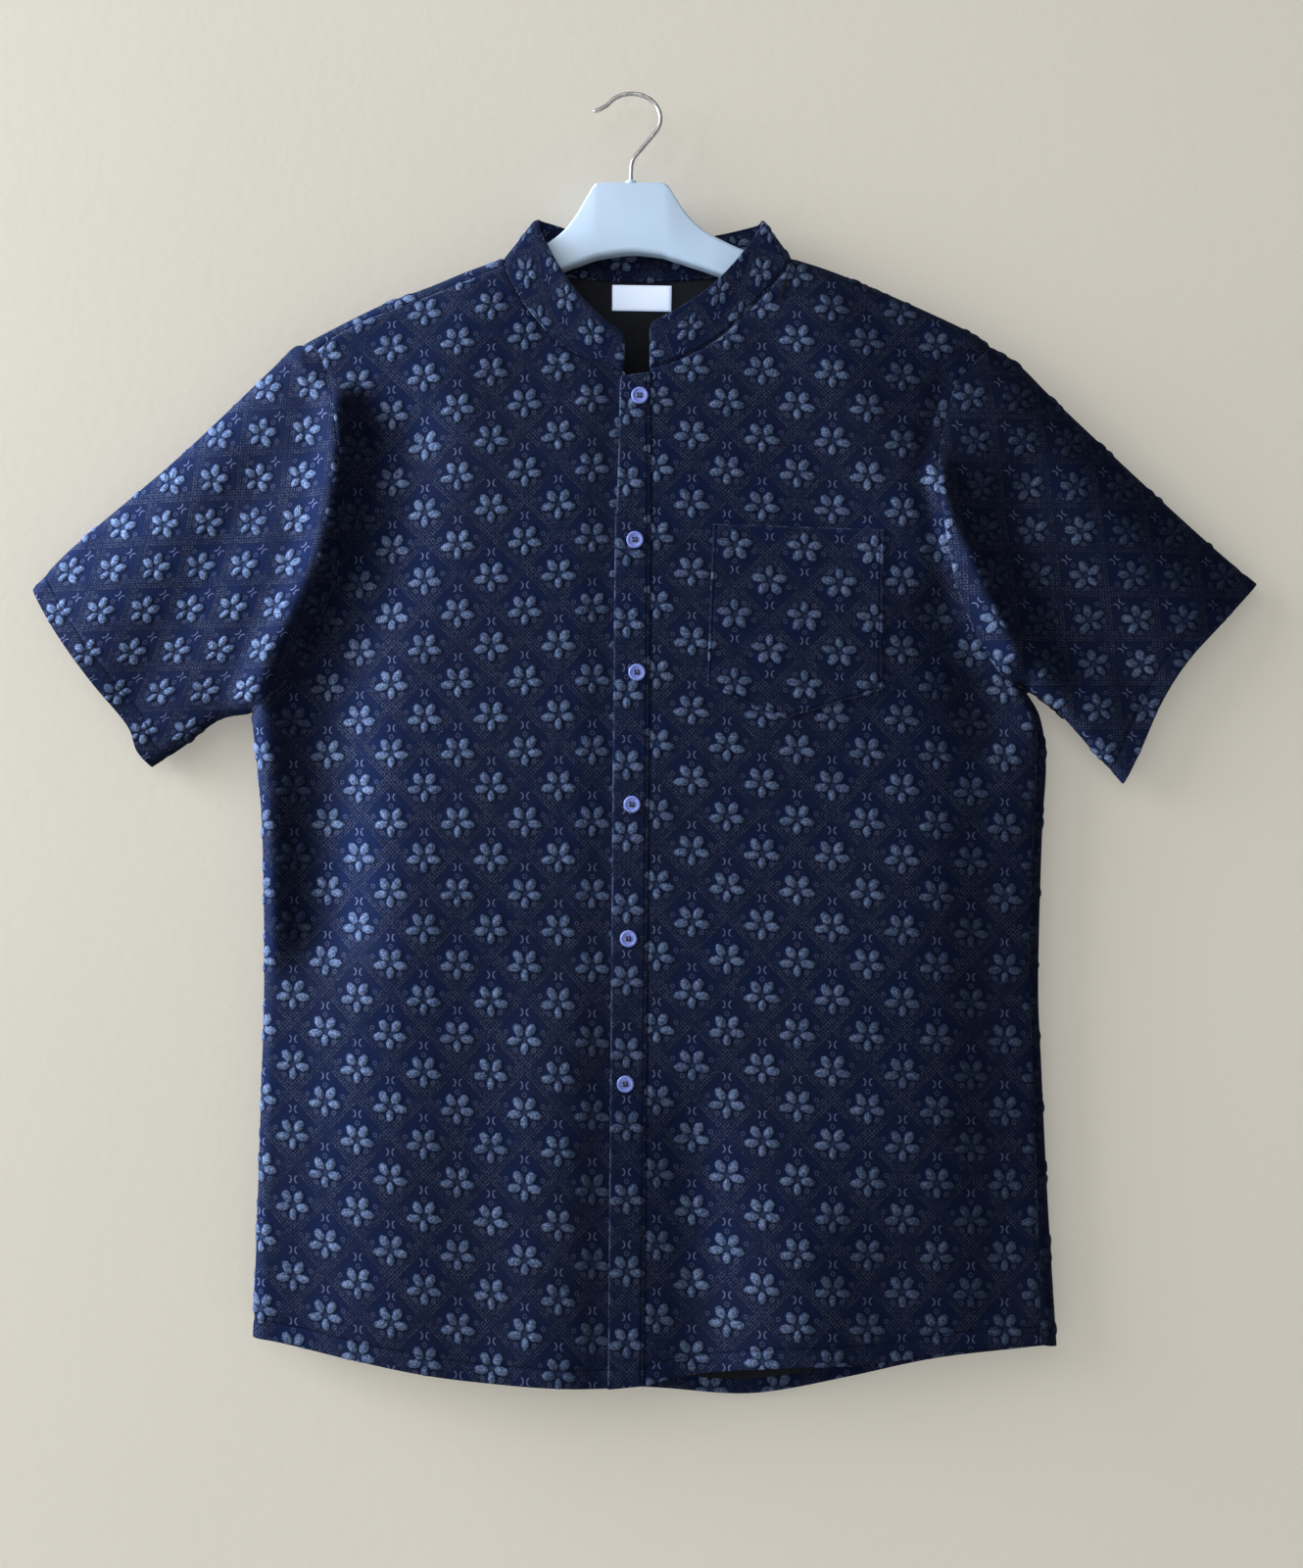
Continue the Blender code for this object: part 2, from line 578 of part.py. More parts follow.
def loft(name, kind, rings):
    """A solid through rings of equal point counts, closed by a fan at each end."""
    count = len(rings[0])
    places = [p for ring in rings for p in ring]
    faces = []
    for r in range(len(rings) - 1):
        for k in range(count):
            a, b = r * count + k, r * count + (k + 1) % count
            faces += [(a, b, b + count), (a, b + count, a + count)]
    for ring, turn in ((0, 1), (len(rings) - 1, -1)):
        places.append(np.mean(rings[ring], axis=0))
        for k in range(count):
            a, b = ring * count + k, ring * count + (k + 1) % count
            faces.append((len(places) - 1, b, a) if turn > 0 else (len(places) - 1, a, b))
    return add_mesh(name, kind, places, faces)


# The shirt's pieces

def body_shift(points, skin):
    return np.full(len(points), -SEAM_GAP / 2 if skin == "front" else SEAM_GAP / 2)


def back_shift(points, skin):
    return np.full(len(points), SEAM_GAP / 2)


def right_front_shift(points, skin):
    """The right front sinks behind the button band."""
    band = np.interp(-points[:, 1], [-z for _, z in BAND_WEST], [x for x, _ in BAND_WEST])
    sink = ease((points[:, 0] - band + UNDERLAP_RUN) / (UNDERLAP_RUN - 2.0))
    return body_shift(points, skin) + UNDERLAP_SINK * sink


def sleeve_shift(side):
    top = next(fold for fold in FOLDS if fold.name == "sleeve_top_" + side)

    def shift(points, skin):
        away = np.minimum(line_distance(points, top.line) / 25.0, 1.0)
        return (-away if skin == "front" else away) * SEAM_GAP / 2
    return shift


def neckline(first, last):
    """Base points of the collar between two rows of its table, as a smooth line."""
    return [(row[1], row[2]) for row in COLLAR[first:last + 1]]


def fold_line(name):
    return next(fold.line for fold in FOLDS if fold.name == name)


RIM = rounded([row[3:] for row in COLLAR])
RIM_PLACES = np.linspace(0.0, len(COLLAR) - 1.0, len(RIM))
NECK_WEST = smooth_line(neckline(0, 5), 11.0)
NECK_TURN = smooth_line(neckline(5, 6), 3.5)
NECK_BACK = smooth_line(neckline(6, 12), 13.0, (True, True))
NECK_EAST = smooth_line(neckline(12, 18), 11.0, (True, False))
ARM_FW = smooth_line(ARMHOLE_FRONT_WEST[1:], 17.0, (False, True))
ARM_TURN = smooth_line(ARMHOLE_FRONT_WEST[:2], 6.0)
ARM_FE = smooth_line(ARMHOLE_FRONT_EAST, 17.0, (True, True))
ARM_BW = smooth_line(ARMHOLE_BACK_WEST, 20.0, (True, True))
ARM_BE = smooth_line(ARMHOLE_BACK_EAST, 20.0, (True, True))
SHOULDER_W = smooth_line(SHOULDER_SEAM_WEST, 18.0)
SEAM_E = smooth_line(SIDE_SEAM_EAST, 25.0)
BAND_W = smooth_line(BAND_WEST[1:], 20.0)
BAND_E = smooth_line(BAND_EAST, 20.0)
HEM_W = smooth_line(HEM_FRONT_WEST, 21.0, (True, False))
HEM_B = np.array(HEM_BAND, float)
HEM_E = smooth_line(HEM_FRONT_EAST, 21.0)
HEM_T = smooth_line(HEM_TURN_EAST, 6.0, (False, False))
HEM_K = smooth_line(HEM_BACK, 21.0, (True, True))


def make_back():
    main = outline(
        (FOLD, fold_line("ridge_west")), (SEAM, ARM_BW), (FOLD, fold_line("side_west")),
        (EDGE, HEM_K), (FOLD, fold_line("side_east")[::-1]), (SEAM, ARM_BE[::-1]),
        (FOLD, fold_line("ridge_east")[::-1]), (SEAM, NECK_BACK[::-1]))
    yoke = outline(
        (FOLD, fold_line("ridge_west")), (WIDE, ARM_TURN), (SEAM, SHOULDER_W[::-1]),
        (SEAM, NECK_TURN))
    turn = outline(
        (FOLD, fold_line("side_east")), (EDGE, HEM_T[::-1]), (SEAM, SEAM_E[::-1]))
    label = np.array(LABEL + LABEL[:1], float)
    areas = [cut("back", main, "back", drawn=[label]),
             cut("front", yoke, "front_west"), cut("front", turn, "front_east")]
    surface = assemble(areas, back_shift)
    wall("back_panel", "cloth", surface, 0.0, -WALL, FLOWER_RAISE)
    chosen = [face for face in surface["faces"]
              if inside(surface["flat"][list(face)].mean(0)[None], label[:-1])[0]
              and surface["normals"][list(face)][:, 1].min() > 0.5]
    return surface, chosen


def make_label(surface, faces):
    flipped = dict(surface, raised=np.zeros(len(surface["places"])))
    wall("neck_label", "label", flipped, -WALL - LIE_GAP, -WALL - LIE_GAP - LABEL_WALL,
         faces=faces)


def make_right_front():
    """The viewer's left front, with the underlap behind the button band."""
    border = outline(
        (SEAM, NECK_WEST[::-1]), (SEAM, np.array(BAND_TOP, float)),
        (SEAM, np.array(BAND_CREST, float)), (SEAM, BAND_E),
        (EDGE, HEM_B[::-1]), (EDGE, HEM_W[::-1]), (FOLD, fold_line("side_west")[::-1]),
        (SEAM, ARM_FW[::-1]), (SEAM, SHOULDER_W[::-1]))
    edge = np.vstack([BAND_WEST[:1], BAND_W])
    area = cut("front", border, "front_west", drawn=[edge])
    band = np.vstack([edge, BAND_E[::-1]])
    area["raised"] &= ~inside(area["flat"], band)
    surface = assemble([area], right_front_shift)
    wall("front_panel_right", "cloth", surface, 0.0, -WALL, FLOWER_RAISE)
    level = assemble([area], body_shift)
    chosen = [face for face in level["faces"]
              if inside(level["flat"][list(face)].mean(0)[None], band)[0]]
    wall("placket_band", "cloth", level, BAND_LIFT, BAND_LIFT - BAND_WALL, faces=chosen)


def make_left_front():
    """The viewer's right front, and the pocket made from its points."""
    border = outline(
        (SEAM, NECK_EAST), (SEAM, BAND_E), (EDGE, HEM_E), (SEAM, SEAM_E[::-1]),
        (SEAM, ARM_FE[::-1]), (FOLD, fold_line("ridge_east")[::-1]))
    corners = POCKET + POCKET[:1]
    edge = np.vstack([np.linspace(a, b, 6, endpoint=False)
                      for a, b in zip(corners[:-1], corners[1:])] + [corners[-1:]])
    area = cut("front", border, "front_east", drawn=[edge], patch=(edge[:-1], "pocket"))
    surface = assemble([area], body_shift)
    in_pocket = inside(surface["flat"], edge[:-1])
    panel = dict(surface, raised=surface["raised"] & ~in_pocket)
    wall("front_panel_left", "cloth", panel, 0.0, -WALL, FLOWER_RAISE)
    patch = dict(surface, raised=surface["raised"] & in_pocket)
    chosen = [face for face in surface["faces"]
              if inside(surface["flat"][list(face)].mean(0)[None], edge[:-1])[0]]
    wall("chest_pocket", "cloth", patch, LIE_GAP + POCKET_WALL, LIE_GAP, FLOWER_RAISE,
         faces=chosen)


def make_sleeve(name, side, front_arm, back_arm, cuff_table):
    """A tube of cloth in one piece, folded over its top and slit at the underarm seam."""
    cuff = smooth_line(cuff_table, 19.0, (True, True))
    top, low = fold_line("sleeve_top_" + side), fold_line("underarm_" + side)
    halves = []
    for skin, arm in (("front", front_arm), ("back", back_arm)):
        border = outline((FOLD, top), (EDGE, cuff), (FOLD, low[::-1]), (SEAM, arm[::-1]))
        halves.append(cut(skin, border, "sleeve_" + side, square=True))
    surface = assemble(halves, sleeve_shift(side))
    wall(name, "cloth", surface, 0.0, -WALL, FLOWER_RAISE)


def make_collar():
    """The standing band, lofted from the neckline to its rim."""
    table = np.array([row[1:] for row in COLLAR], float)
    lines = []
    for skin, foot in (("front", np.vstack([NECK_WEST[:-1], NECK_TURN])), ("back", NECK_BACK),
                       ("front", NECK_EAST)):
        away = segment_distance(foot, table[:, :2])
        if skin == "front":
            middle_x = foot[:, 0].mean()
            away[:, (table[:-1, 0] + table[1:, 0]) * middle_x < 0] += 50.0
        number = away.argmin(1)
        start, end = table[number], table[number + 1]
        step = end[:, :2] - start[:, :2]
        share = ((foot - start[:, :2]) * step).sum(1) / (step ** 2).sum(1)
        place = number + np.clip(share, 0.0, 1.0)
        rim = np.column_stack([np.interp(place, RIM_PLACES, RIM[:, k]) for k in range(3)])
        lines.append((skin, foot, rim))
    feet, normals, rims = [], [], []
    for number, (skin, foot, rim) in enumerate(lines):
        spot, normal = skin_point(foot, skin)
        start = 0 if number == 0 else 1
        feet.append(spot[start:])
        normals.append(normal[start:])
        rims.append(rim[start:])
    feet, normals, rims = (np.vstack(part) for part in (feet, normals, rims))
    rise = rims - feet
    rise /= np.linalg.norm(rise, axis=1)[:, None]
    feet = feet + rise * SEAM_GAP
    ends = np.zeros(len(feet))
    ends[0], ends[-1] = 0.15, -0.15
    feet[:, 0] -= ends
    rims = rims.copy()
    rims[:, 0] -= ends
    count, rows = len(feet), len(COLLAR_ROWS)
    grid = np.array([feet * (1 - share) + rims * share for share in COLLAR_ROWS])
    along = np.gradient(grid, axis=1)
    up = np.gradient(grid, axis=0)
    own = np.cross(up, along)
    own /= np.linalg.norm(own, axis=2)[..., None]
    for _ in range(3):
        own[:, 1:-1] = own[:, :-2] + 2.0 * own[:, 1:-1] + own[:, 2:]
        own /= np.linalg.norm(own, axis=2)[..., None]
    middle_y = own[:, :, 1] * (grid[:, :, 1] - 0.0)
    if middle_y.sum() < 0:
        own = -own
    blend = np.array([1.0, 0.45, 0.0, 0.0])[:, None, None]
    face_out = normals[None] * blend + own * (1 - blend)
    face_out /= np.linalg.norm(face_out, axis=2)[..., None]
    faces = []
    for r in range(rows - 1):
        for k in range(count - 1):
            a, b, c, d = (r * count + k, r * count + k + 1, (r + 1) * count + k + 1,
                          (r + 1) * count + k)
            faces += [(a, b, c), (a, c, d)]
    raised = np.zeros((rows, count))
    raised[1, 2:-2:4] = 1.0
    raised[2, 4:-2:4] = 1.0
    surface = {"places": grid.reshape(-1, 3), "normals": face_out.reshape(-1, 3),
               "raised": raised.reshape(-1), "faces": faces}
    first = faces[0]
    p = surface["places"]
    turn = np.cross(p[first[1]] - p[first[0]], p[first[2]] - p[first[0]])
    if turn @ surface["normals"][first[0]] < 0:
        surface["faces"] = [(a, c, b) for a, b, c in faces]
    wall("collar_band", "cloth", surface, 0.0, -COLLAR_WALL, 0.8)


def make_buttons():
    profile = [(0.0, BUTTON_HEIGHT - 0.55), (3.3, BUTTON_HEIGHT - 0.5), (4.3, BUTTON_HEIGHT),
               (5.3, BUTTON_HEIGHT - 0.25), (BUTTON_RADIUS, BUTTON_HEIGHT * 0.5),
               (5.0, 0.15), (4.0, 0.0), (0.0, 0.0)]
    for number, (x, z) in enumerate(BUTTONS, 1):
        name = "button_%d" % number
        spot, normal = skin_point(np.array([(x, z)], float), "front", -SEAM_GAP / 2)
        mesh = bpy.data.meshes.new(name)
        places = [(r * 0.001, 0.0, h * 0.001) for r, h in profile]
        mesh.from_pydata(places, [(k, k + 1) for k in range(len(places) - 1)], [])
        mesh.materials.append(material_for(name, "button"))
        thing = bpy.data.objects.new(name, mesh)
        SHIRT.objects.link(thing)
        turn = thing.modifiers.new("turn", "SCREW")
        turn.steps = turn.render_steps = BUTTON_STEPS
        turn.use_merge_vertices = True
        turn.merge_threshold = 0.00005
        turn.use_normal_calculate = True
        out = Vector(normal[0])
        thing.rotation_mode = "QUATERNION"
        thing.rotation_quaternion = out.to_track_quat("Z", "Y")
        thing.location = (Vector(spot[0]) + out * (BAND_LIFT + LIE_GAP + 0.1)) * 0.001


def rounded_section(x, top, low, half):
    """A rectangle with round corners, in the YZ plane."""
    radius = min(HANGER_CORNER, half * 0.85, (top - low) * 0.45)
    ring = []
    corners = ((half - radius, top - radius, 0.0), (-half + radius, top - radius, 90.0),
               (-half + radius, low + radius, 180.0), (half - radius, low + radius, 270.0))
    for y, z, start in corners:
        for step in range(HANGER_CORNER_STEPS + 1):
            angle = math.radians(start + 90.0 * step / HANGER_CORNER_STEPS)
            ring.append(np.array([x, y + radius * math.cos(angle),
                                  z + radius * math.sin(angle)]))
    return ring


def make_hanger():
    loft("hanger_body", "hanger", [rounded_section(*row) for row in HANGER])


def make_hook():
    """The wire: a flared tip, an oval turn over the peg, and a neck into the hanger."""
    tip = [(-27.6, -10.4), (-23.4, -9.2)]
    turn = [(HOOK_MIDDLE[0] + HOOK_HALF_WIDTH * math.cos(math.radians(a)),
             HOOK_MIDDLE[1] + HOOK_HALF_HEIGHT * math.sin(math.radians(a)))
            for a in np.linspace(146.0, -32.0, 18)]
    neck = [(9.9, -30.5), (4.6, -36.6), (0.2, -42.0), (-1.6, -47.2), (-2.0, -54.3),
            (-2.0, -60.0)]
    points = tip + turn + neck
    curve = bpy.data.curves.new("hook_wire", "CURVE")
    curve.dimensions = "3D"
    spline = curve.splines.new("POLY")
    spline.points.add(len(points) - 1)
    for point, (x, z) in zip(spline.points, points):
        point.co = (x * 0.001, 0.0, z * 0.001, 1.0)
    curve.bevel_depth = HOOK_WIRE * 0.001
    curve.bevel_resolution = 2
    curve.use_fill_caps = True
    curve.materials.append(material_for("hanger_hook", "steel"))
    SHIRT.objects.link(bpy.data.objects.new("hanger_hook", curve))


for old in list(bpy.data.objects):
    bpy.data.objects.remove(old, do_unlink=True)
SHIRT = bpy.data.collections.new("mandarin_collar_shirt")
bpy.context.scene.collection.children.link(SHIRT)

back_surface, label_faces = make_back()
make_label(back_surface, label_faces)
make_right_front()
make_left_front()
make_sleeve("sleeve_right", "west", np.vstack([ARM_TURN[:-1], ARM_FW]), ARM_BW, CUFF_WEST)
make_sleeve("sleeve_left", "east", ARM_FE, ARM_BE, CUFF_EAST)
make_collar()
make_buttons()
make_hanger()
make_hook()
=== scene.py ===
"""Looks of the short-sleeved mandarin collar shirt on its plastic hanger.

Lengths are millimetres until a mesh is made. X runs across the shirt, -Y is its front, +Z
is up. West is -X, the wearer's right. The shirt's outline is drawn in the XZ plane; a front
skin and a back skin bulge from it, as in the part's source, and every cloth piece is a grid
on a skin, with the woven flowers' puff and the sewing added to its outer side.
"""

import json
import math

import bmesh
import bpy
import numpy as np
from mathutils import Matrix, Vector

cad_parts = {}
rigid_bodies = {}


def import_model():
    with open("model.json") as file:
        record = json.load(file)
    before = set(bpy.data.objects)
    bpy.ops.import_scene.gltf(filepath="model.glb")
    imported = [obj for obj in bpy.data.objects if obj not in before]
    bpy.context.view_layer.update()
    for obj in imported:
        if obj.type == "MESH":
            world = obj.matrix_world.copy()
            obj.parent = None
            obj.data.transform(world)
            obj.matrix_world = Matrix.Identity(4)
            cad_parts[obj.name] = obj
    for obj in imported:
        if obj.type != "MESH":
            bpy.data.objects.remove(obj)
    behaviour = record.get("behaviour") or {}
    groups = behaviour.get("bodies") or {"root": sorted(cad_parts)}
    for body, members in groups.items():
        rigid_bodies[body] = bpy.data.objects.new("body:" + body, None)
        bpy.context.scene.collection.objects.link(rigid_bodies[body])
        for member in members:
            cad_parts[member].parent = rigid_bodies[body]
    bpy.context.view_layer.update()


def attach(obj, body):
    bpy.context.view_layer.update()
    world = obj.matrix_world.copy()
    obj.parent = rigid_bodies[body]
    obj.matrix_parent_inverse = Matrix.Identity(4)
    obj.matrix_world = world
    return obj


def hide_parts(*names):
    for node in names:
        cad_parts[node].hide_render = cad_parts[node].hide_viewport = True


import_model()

# Thickness of the cloth walls, gaps between pieces, and the underlap behind the band
WALL, BAND_WALL, COLLAR_WALL, POCKET_WALL, LABEL_WALL = 1.6, 1.8, 3.0, 1.4, 0.9
SEAM_GAP, LIE_GAP, BAND_LIFT = 0.3, 0.3, 0.9
UNDERLAP_SINK, UNDERLAP_RUN = 1.35, 26.0
CLOTH_STEP = 1.52       # spacing of the cloth grids
PUFF = 1.05             # height of a petal at its middle
REPEAT = 46.8           # the woven repeat, across and down
TURN_UP = 12.5          # height of the hems' turn
TURN_WALL = 1.2         # how far the turn stands in

# The hanging shirt's outline, (x, z), from each line's upper or centre end
OUTLINE = {
    "ridge_west": [(-88.7, -111.3), (-112, -119.3), (-138, -130), (-170, -142),
        (-204, -158.7), (-224, -169.3)],
    "ridge_east": [(107.3, -110.7), (138.7, -121.3), (186, -141.3), (229, -161.3),
        (242.7, -170.7)],
    "side_west": [(-260.4, -420.2), (-255.3, -466.7), (-252.7, -508), (-251.6, -601),
        (-254, -688), (-257.3, -788), (-259.4, -843.3)],
    "side_east": [(266.3, -404.2), (276.7, -423), (280.7, -454.7), (278, -501.3),
        (275.3, -601.3), (277.5, -661.3), (282, -754.7), (288, -850)],
    "sleeve_top_west": [(-224, -169.3), (-232, -171.5), (-248, -187.5), (-310, -244.5),
        (-383, -304.3), (-412, -334)],
    "sleeve_top_east": [(242.7, -170.7), (262, -183), (287, -207.4), (337.5, -253.3),
        (396.7, -305.6), (427, -330.6)],
    "underarm_west": [(-260.4, -420.2), (-283, -424.6), (-307.5, -442.6), (-329.5, -456.5)],
    "underarm_east": [(266.3, -404.2), (287, -417.2), (314, -446.3), (334, -468)],
    "cuff_west": [(-412, -334), (-395, -362), (-368.7, -398.2), (-344.5, -428.3),
        (-338.6, -445), (-329.5, -456.5)],
    "cuff_east": [(427, -330.6), (398.5, -360), (375, -385.5), (358.5, -412.6), (344, -446),
        (334, -468)],
    "arm_front_west": [(-224, -169.3), (-213.9, -175.6), (-203.8, -203), (-198.3, -239.7),
        (-194, -270.3), (-194, -302.7), (-205.8, -346.6), (-232.7, -396.5), (-260.4, -420.2)],
    "arm_front_east": [(242.7, -170.7), (226, -188), (215.4, -202.3), (204.9, -245),
        (204.9, -274.5), (217.3, -336.8), (244.5, -389.5), (266.3, -404.2)],
    "arm_back_west": [(-224, -169.3), (-212, -192), (-205, -225), (-204, -262), (-212, -330),
        (-232, -385), (-260.4, -420.2)],
    "arm_back_east": [(242.7, -170.7), (229, -195), (220, -228), (218, -264), (224, -330),
        (243, -381), (266.3, -404.2)],
    "shoulder_seam": [(-87.4, -118), (-136, -138.3), (-188.6, -158.2), (-213.9, -175.6)],
    "side_seam": [(266.3, -404.2), (271.6, -422), (273.4, -450), (269.5, -541), (268.5, -600),
        (272, -700), (276.3, -847.8)],
    "band_west": [(-5.6, -194.9), (-8.8, -199), (-9.7, -236), (-11.2, -283.7), (-12.7, -322),
        (-15.3, -640), (-17.3, -873.6)],
    "band_east": [(10.8, -192.9), (11.3, -293), (9.4, -560), (6.8, -871.6)],
    "hem_west": [(-259.4, -843.3), (-240.3, -845.6), (-190.4, -855.2), (-120.7, -867.3),
        (-55.7, -872.3), (-17.3, -873.6), (6.8, -871.6)],
    "hem_east": [(6.8, -871.6), (25, -867.5), (61.3, -862), (100.7, -858), (164.4, -856.1),
        (220.9, -849.1), (276.3, -847.8)],
    "hem_back": [(-259.4, -843.3), (-200, -855), (-120, -869), (-40, -877), (20, -880.5),
        (81.4, -885), (146.8, -873), (215, -859), (288, -850)],
}
HEM_BAND = [(-17.3, -873.6), (6.8, -871.6)]
HEM_TURN_EAST = [(276.3, -847.8), (288, -850)]
BAND_TOP = [(-6.3, -191.8), (-5.6, -194.9)]
BAND_CREST = [(-5.6, -194.9), (10.8, -192.9)]
POCKET = [(53.2, -294.2), (167.3, -297.8), (166.6, -405), (102.3, -424.5), (49, -402.4)]
LABEL = [(-14.9, -126.2), (25.8, -126.8), (25.5, -144.6), (-14.9, -143.9)]

# The collar from its west end at the centre front, round the back, to its east end
COLLAR = [
    # skin,   base_x, base_z, top_x, top_y, top_z
    ("front", -6.3, -191.8, -5.7, -22.0, -166.4),
    ("front", -30.5, -184.6, -23.3, -23.0, -153.9),
    ("front", -52.9, -170.4, -39.1, -21.0, -136.3),
    ("front", -70.2, -151.0, -50.5, -17.0, -118.8),
    ("front", -81.8, -131.3, -59.3, -11.5, -101.5),
    ("front", -87.4, -118.0, -65.2, -5.5, -88.4),
    ("fold", -88.7, -111.3, -66.0, 0.5, -83.6),
    ("back", -78.6, -113.8, -60.4, 8.5, -83.6),
    ("back", -46.0, -120.2, -31.8, 14.0, -90.5),
    ("back", 5.3, -124.2, 8.6, 16.0, -93.9),
    ("back", 57.8, -120.2, 49.1, 14.0, -92.5),
    ("back", 97.2, -113.8, 82.6, 8.5, -86.4),
    ("fold", 107.3, -110.7, 88.0, 0.5, -84.2),
    ("front", 105.0, -116.5, 87.0, -5.5, -89.0),
    ("front", 98.0, -127.4, 80.1, -10.0, -99.7),
    ("front", 79.8, -148.2, 67.9, -16.0, -116.6),
    ("front", 57.9, -168.9, 51.4, -20.0, -134.4),
    ("front", 33.6, -183.1, 31.6, -22.0, -148.4),
    ("front", 10.8, -190.3, 10.7, -22.0, -159.5),
]

FOLD_SHAPES = {
    # lines:      roll depth front, reach front, the same behind, swell, swell's reach
    "ridge": (10.0, 10.0, 10.0, 10.0, 18.0, 70.0),
    "side": (6.0, 9.0, 5.0, 9.0, 20.0, 70.0),
    "sleeve_top": (6.5, 8.0, 7.0, 8.0, 13.0, 60.0),
    "underarm": (5.0, 8.0, 5.0, 8.0, 12.0, 60.0),
}
NECK_REACH, BACK_SWELL, HEM_FLATTEN, SLEEVE_LEAN = 40.0, 0.22, 0.35, 11.0

CREASES = [
    # skin,  x1,   z1,   x2,   z2,  half_width, height
    ("front", 231, -318, 279, -398, 19, 7.0),
    ("front", 214, -352, 243, -430, 24, -5.0),
    ("front", -252, -430, -248, -580, 14, 6.0),
    ("front", -110, -150, -178, -330, 34, 2.5),
    ("front", 128, -150, 190, -310, 34, 2.5),
    ("front", -218, -500, -226, -830, 30, -3.0),
    ("front", -160, -560, -150, -862, 36, 2.0),
    ("front", -50, -640, -62, -875, 34, 3.5),
    ("front", 40, -700, 46, -868, 26, -4.0),
    ("front", 110, -790, 112, -868, 48, 6.0),
    ("front", 236, -470, 248, -820, 28, -3.0),
    ("front", -245, -205, -368, -352, 26, 2.5),
    ("front", -250, -262, -335, -405, 22, -3.0),
    ("front", 262, -210, 384, -342, 26, 2.5),
    ("front", 262, -270, 345, -408, 22, -3.0),
    ("back", -215, -285, -258, -392, 22, 6.0),
    ("back", 226, -285, 270, -390, 22, 6.0),
    ("back", -100, -150, -170, -420, 40, 2.5),
    ("back", 112, -150, 180, -420, 40, 2.5),
    ("back", 10, -170, 8, -760, 60, -2.5),
    ("back", -150, -520, -170, -850, 40, 2.5),
    ("back", 165, -520, 185, -850, 40, 2.5),
    ("back", 90, -800, 84, -884, 42, 3.0),
]

# Soft rolls and hollows about bent lines: beside the sewn armholes and under the arm
ROLLS = [
    # skin, half width, height, line
    ("front", 13.0, 9.5, [(-198, -215), (-198, -245), (-209, -308), (-226, -350),
                          (-240, -376), (-256, -410)]),
    ("front", 29.0, -10.5, [(-158, -240), (-166, -308), (-183, -350), (-198, -388),
                            (-206, -430), (-206, -560)]),
    ("front", 10.0, 5.5, [(206, -262), (214, -291), (226, -321), (239, -351), (257, -381)]),
    ("front", 9.0, -1.5, [(208, -202), (198, -245), (198, -275), (210, -337)]),
    ("front", 26.0, -5.0, [(252, -300), (270, -345), (288, -385)]),
]

# How the woven repeat lies on each piece. right and down are where one repeat across the
# cloth and one repeat down it lead in the outline's plane, at the anchor, which is the
# middle of a flower. The last three change the rows' pitch and slope with the fall below
# the anchor, per millimetre, as the hanging cloth stretches, and bend the columns.
LAYS = {
    # piece:        anchor x, z,       right x, z,     down x, z,    pitch, slope, bend
    "front_west": (-95.1, -328.6, 45.0, 2.0, 0.0, -46.2, 0.00016, -0.00024, 0.0),
    "front_east": (133.0, -283.0, 47.0, -1.8, 0.0, -45.6, 0.00016, 0.0, 0.0),
    "back": (5.3, -208.0, 46.8, 0.0, 0.0, -46.8, 0.00008, 0.0, 0.0),
    "band": (-4.6, -218.0, 46.8, 0.0, 0.0, -46.8, 0.00008, 0.0, 0.0),
    "pocket": (91.0, -333.0, -46.8, 1.6, 0.0, 45.9, 0.0, 0.0, 0.0),
    "sleeve_west": (-282.6, -262.2, 27.5, -29.25, -32.9, -30.55, -0.0006, 0.0, 0.0012),
    "sleeve_east": (301.0, -297.0, 29.0, 29.8, 35.8, -29.8, 0.0, 0.0, 0.0),
}

# How far the pile, which runs down the cloth, leans with a piece that is cut turned; the finish
# paints this lean as side light
PILE_SIDE_LIGHT_TURN = 0.13

# The collar's cut: where its repeat starts from the west end's foot, in millimetres, and
# how far its run turns to either side of the middle, in degrees
COLLAR_START, COLLAR_TURN = (10.0, 8.0), 31.0
COLLAR_END = 4.5        # radius of its rounded ends

# The buttons' x, z and turn in degrees, and how far their holes are from the middle
BUTTONS = [(4.2, -209.0, -4.0), (1.0, -305.0, 3.0), (2.3, -393.4, 2.0),
           (-1.0, -481.6, -3.0), (-3.3, -571.2, 5.0), (-5.5, -667.9, 8.0)]
HOLE_AT = 1.05

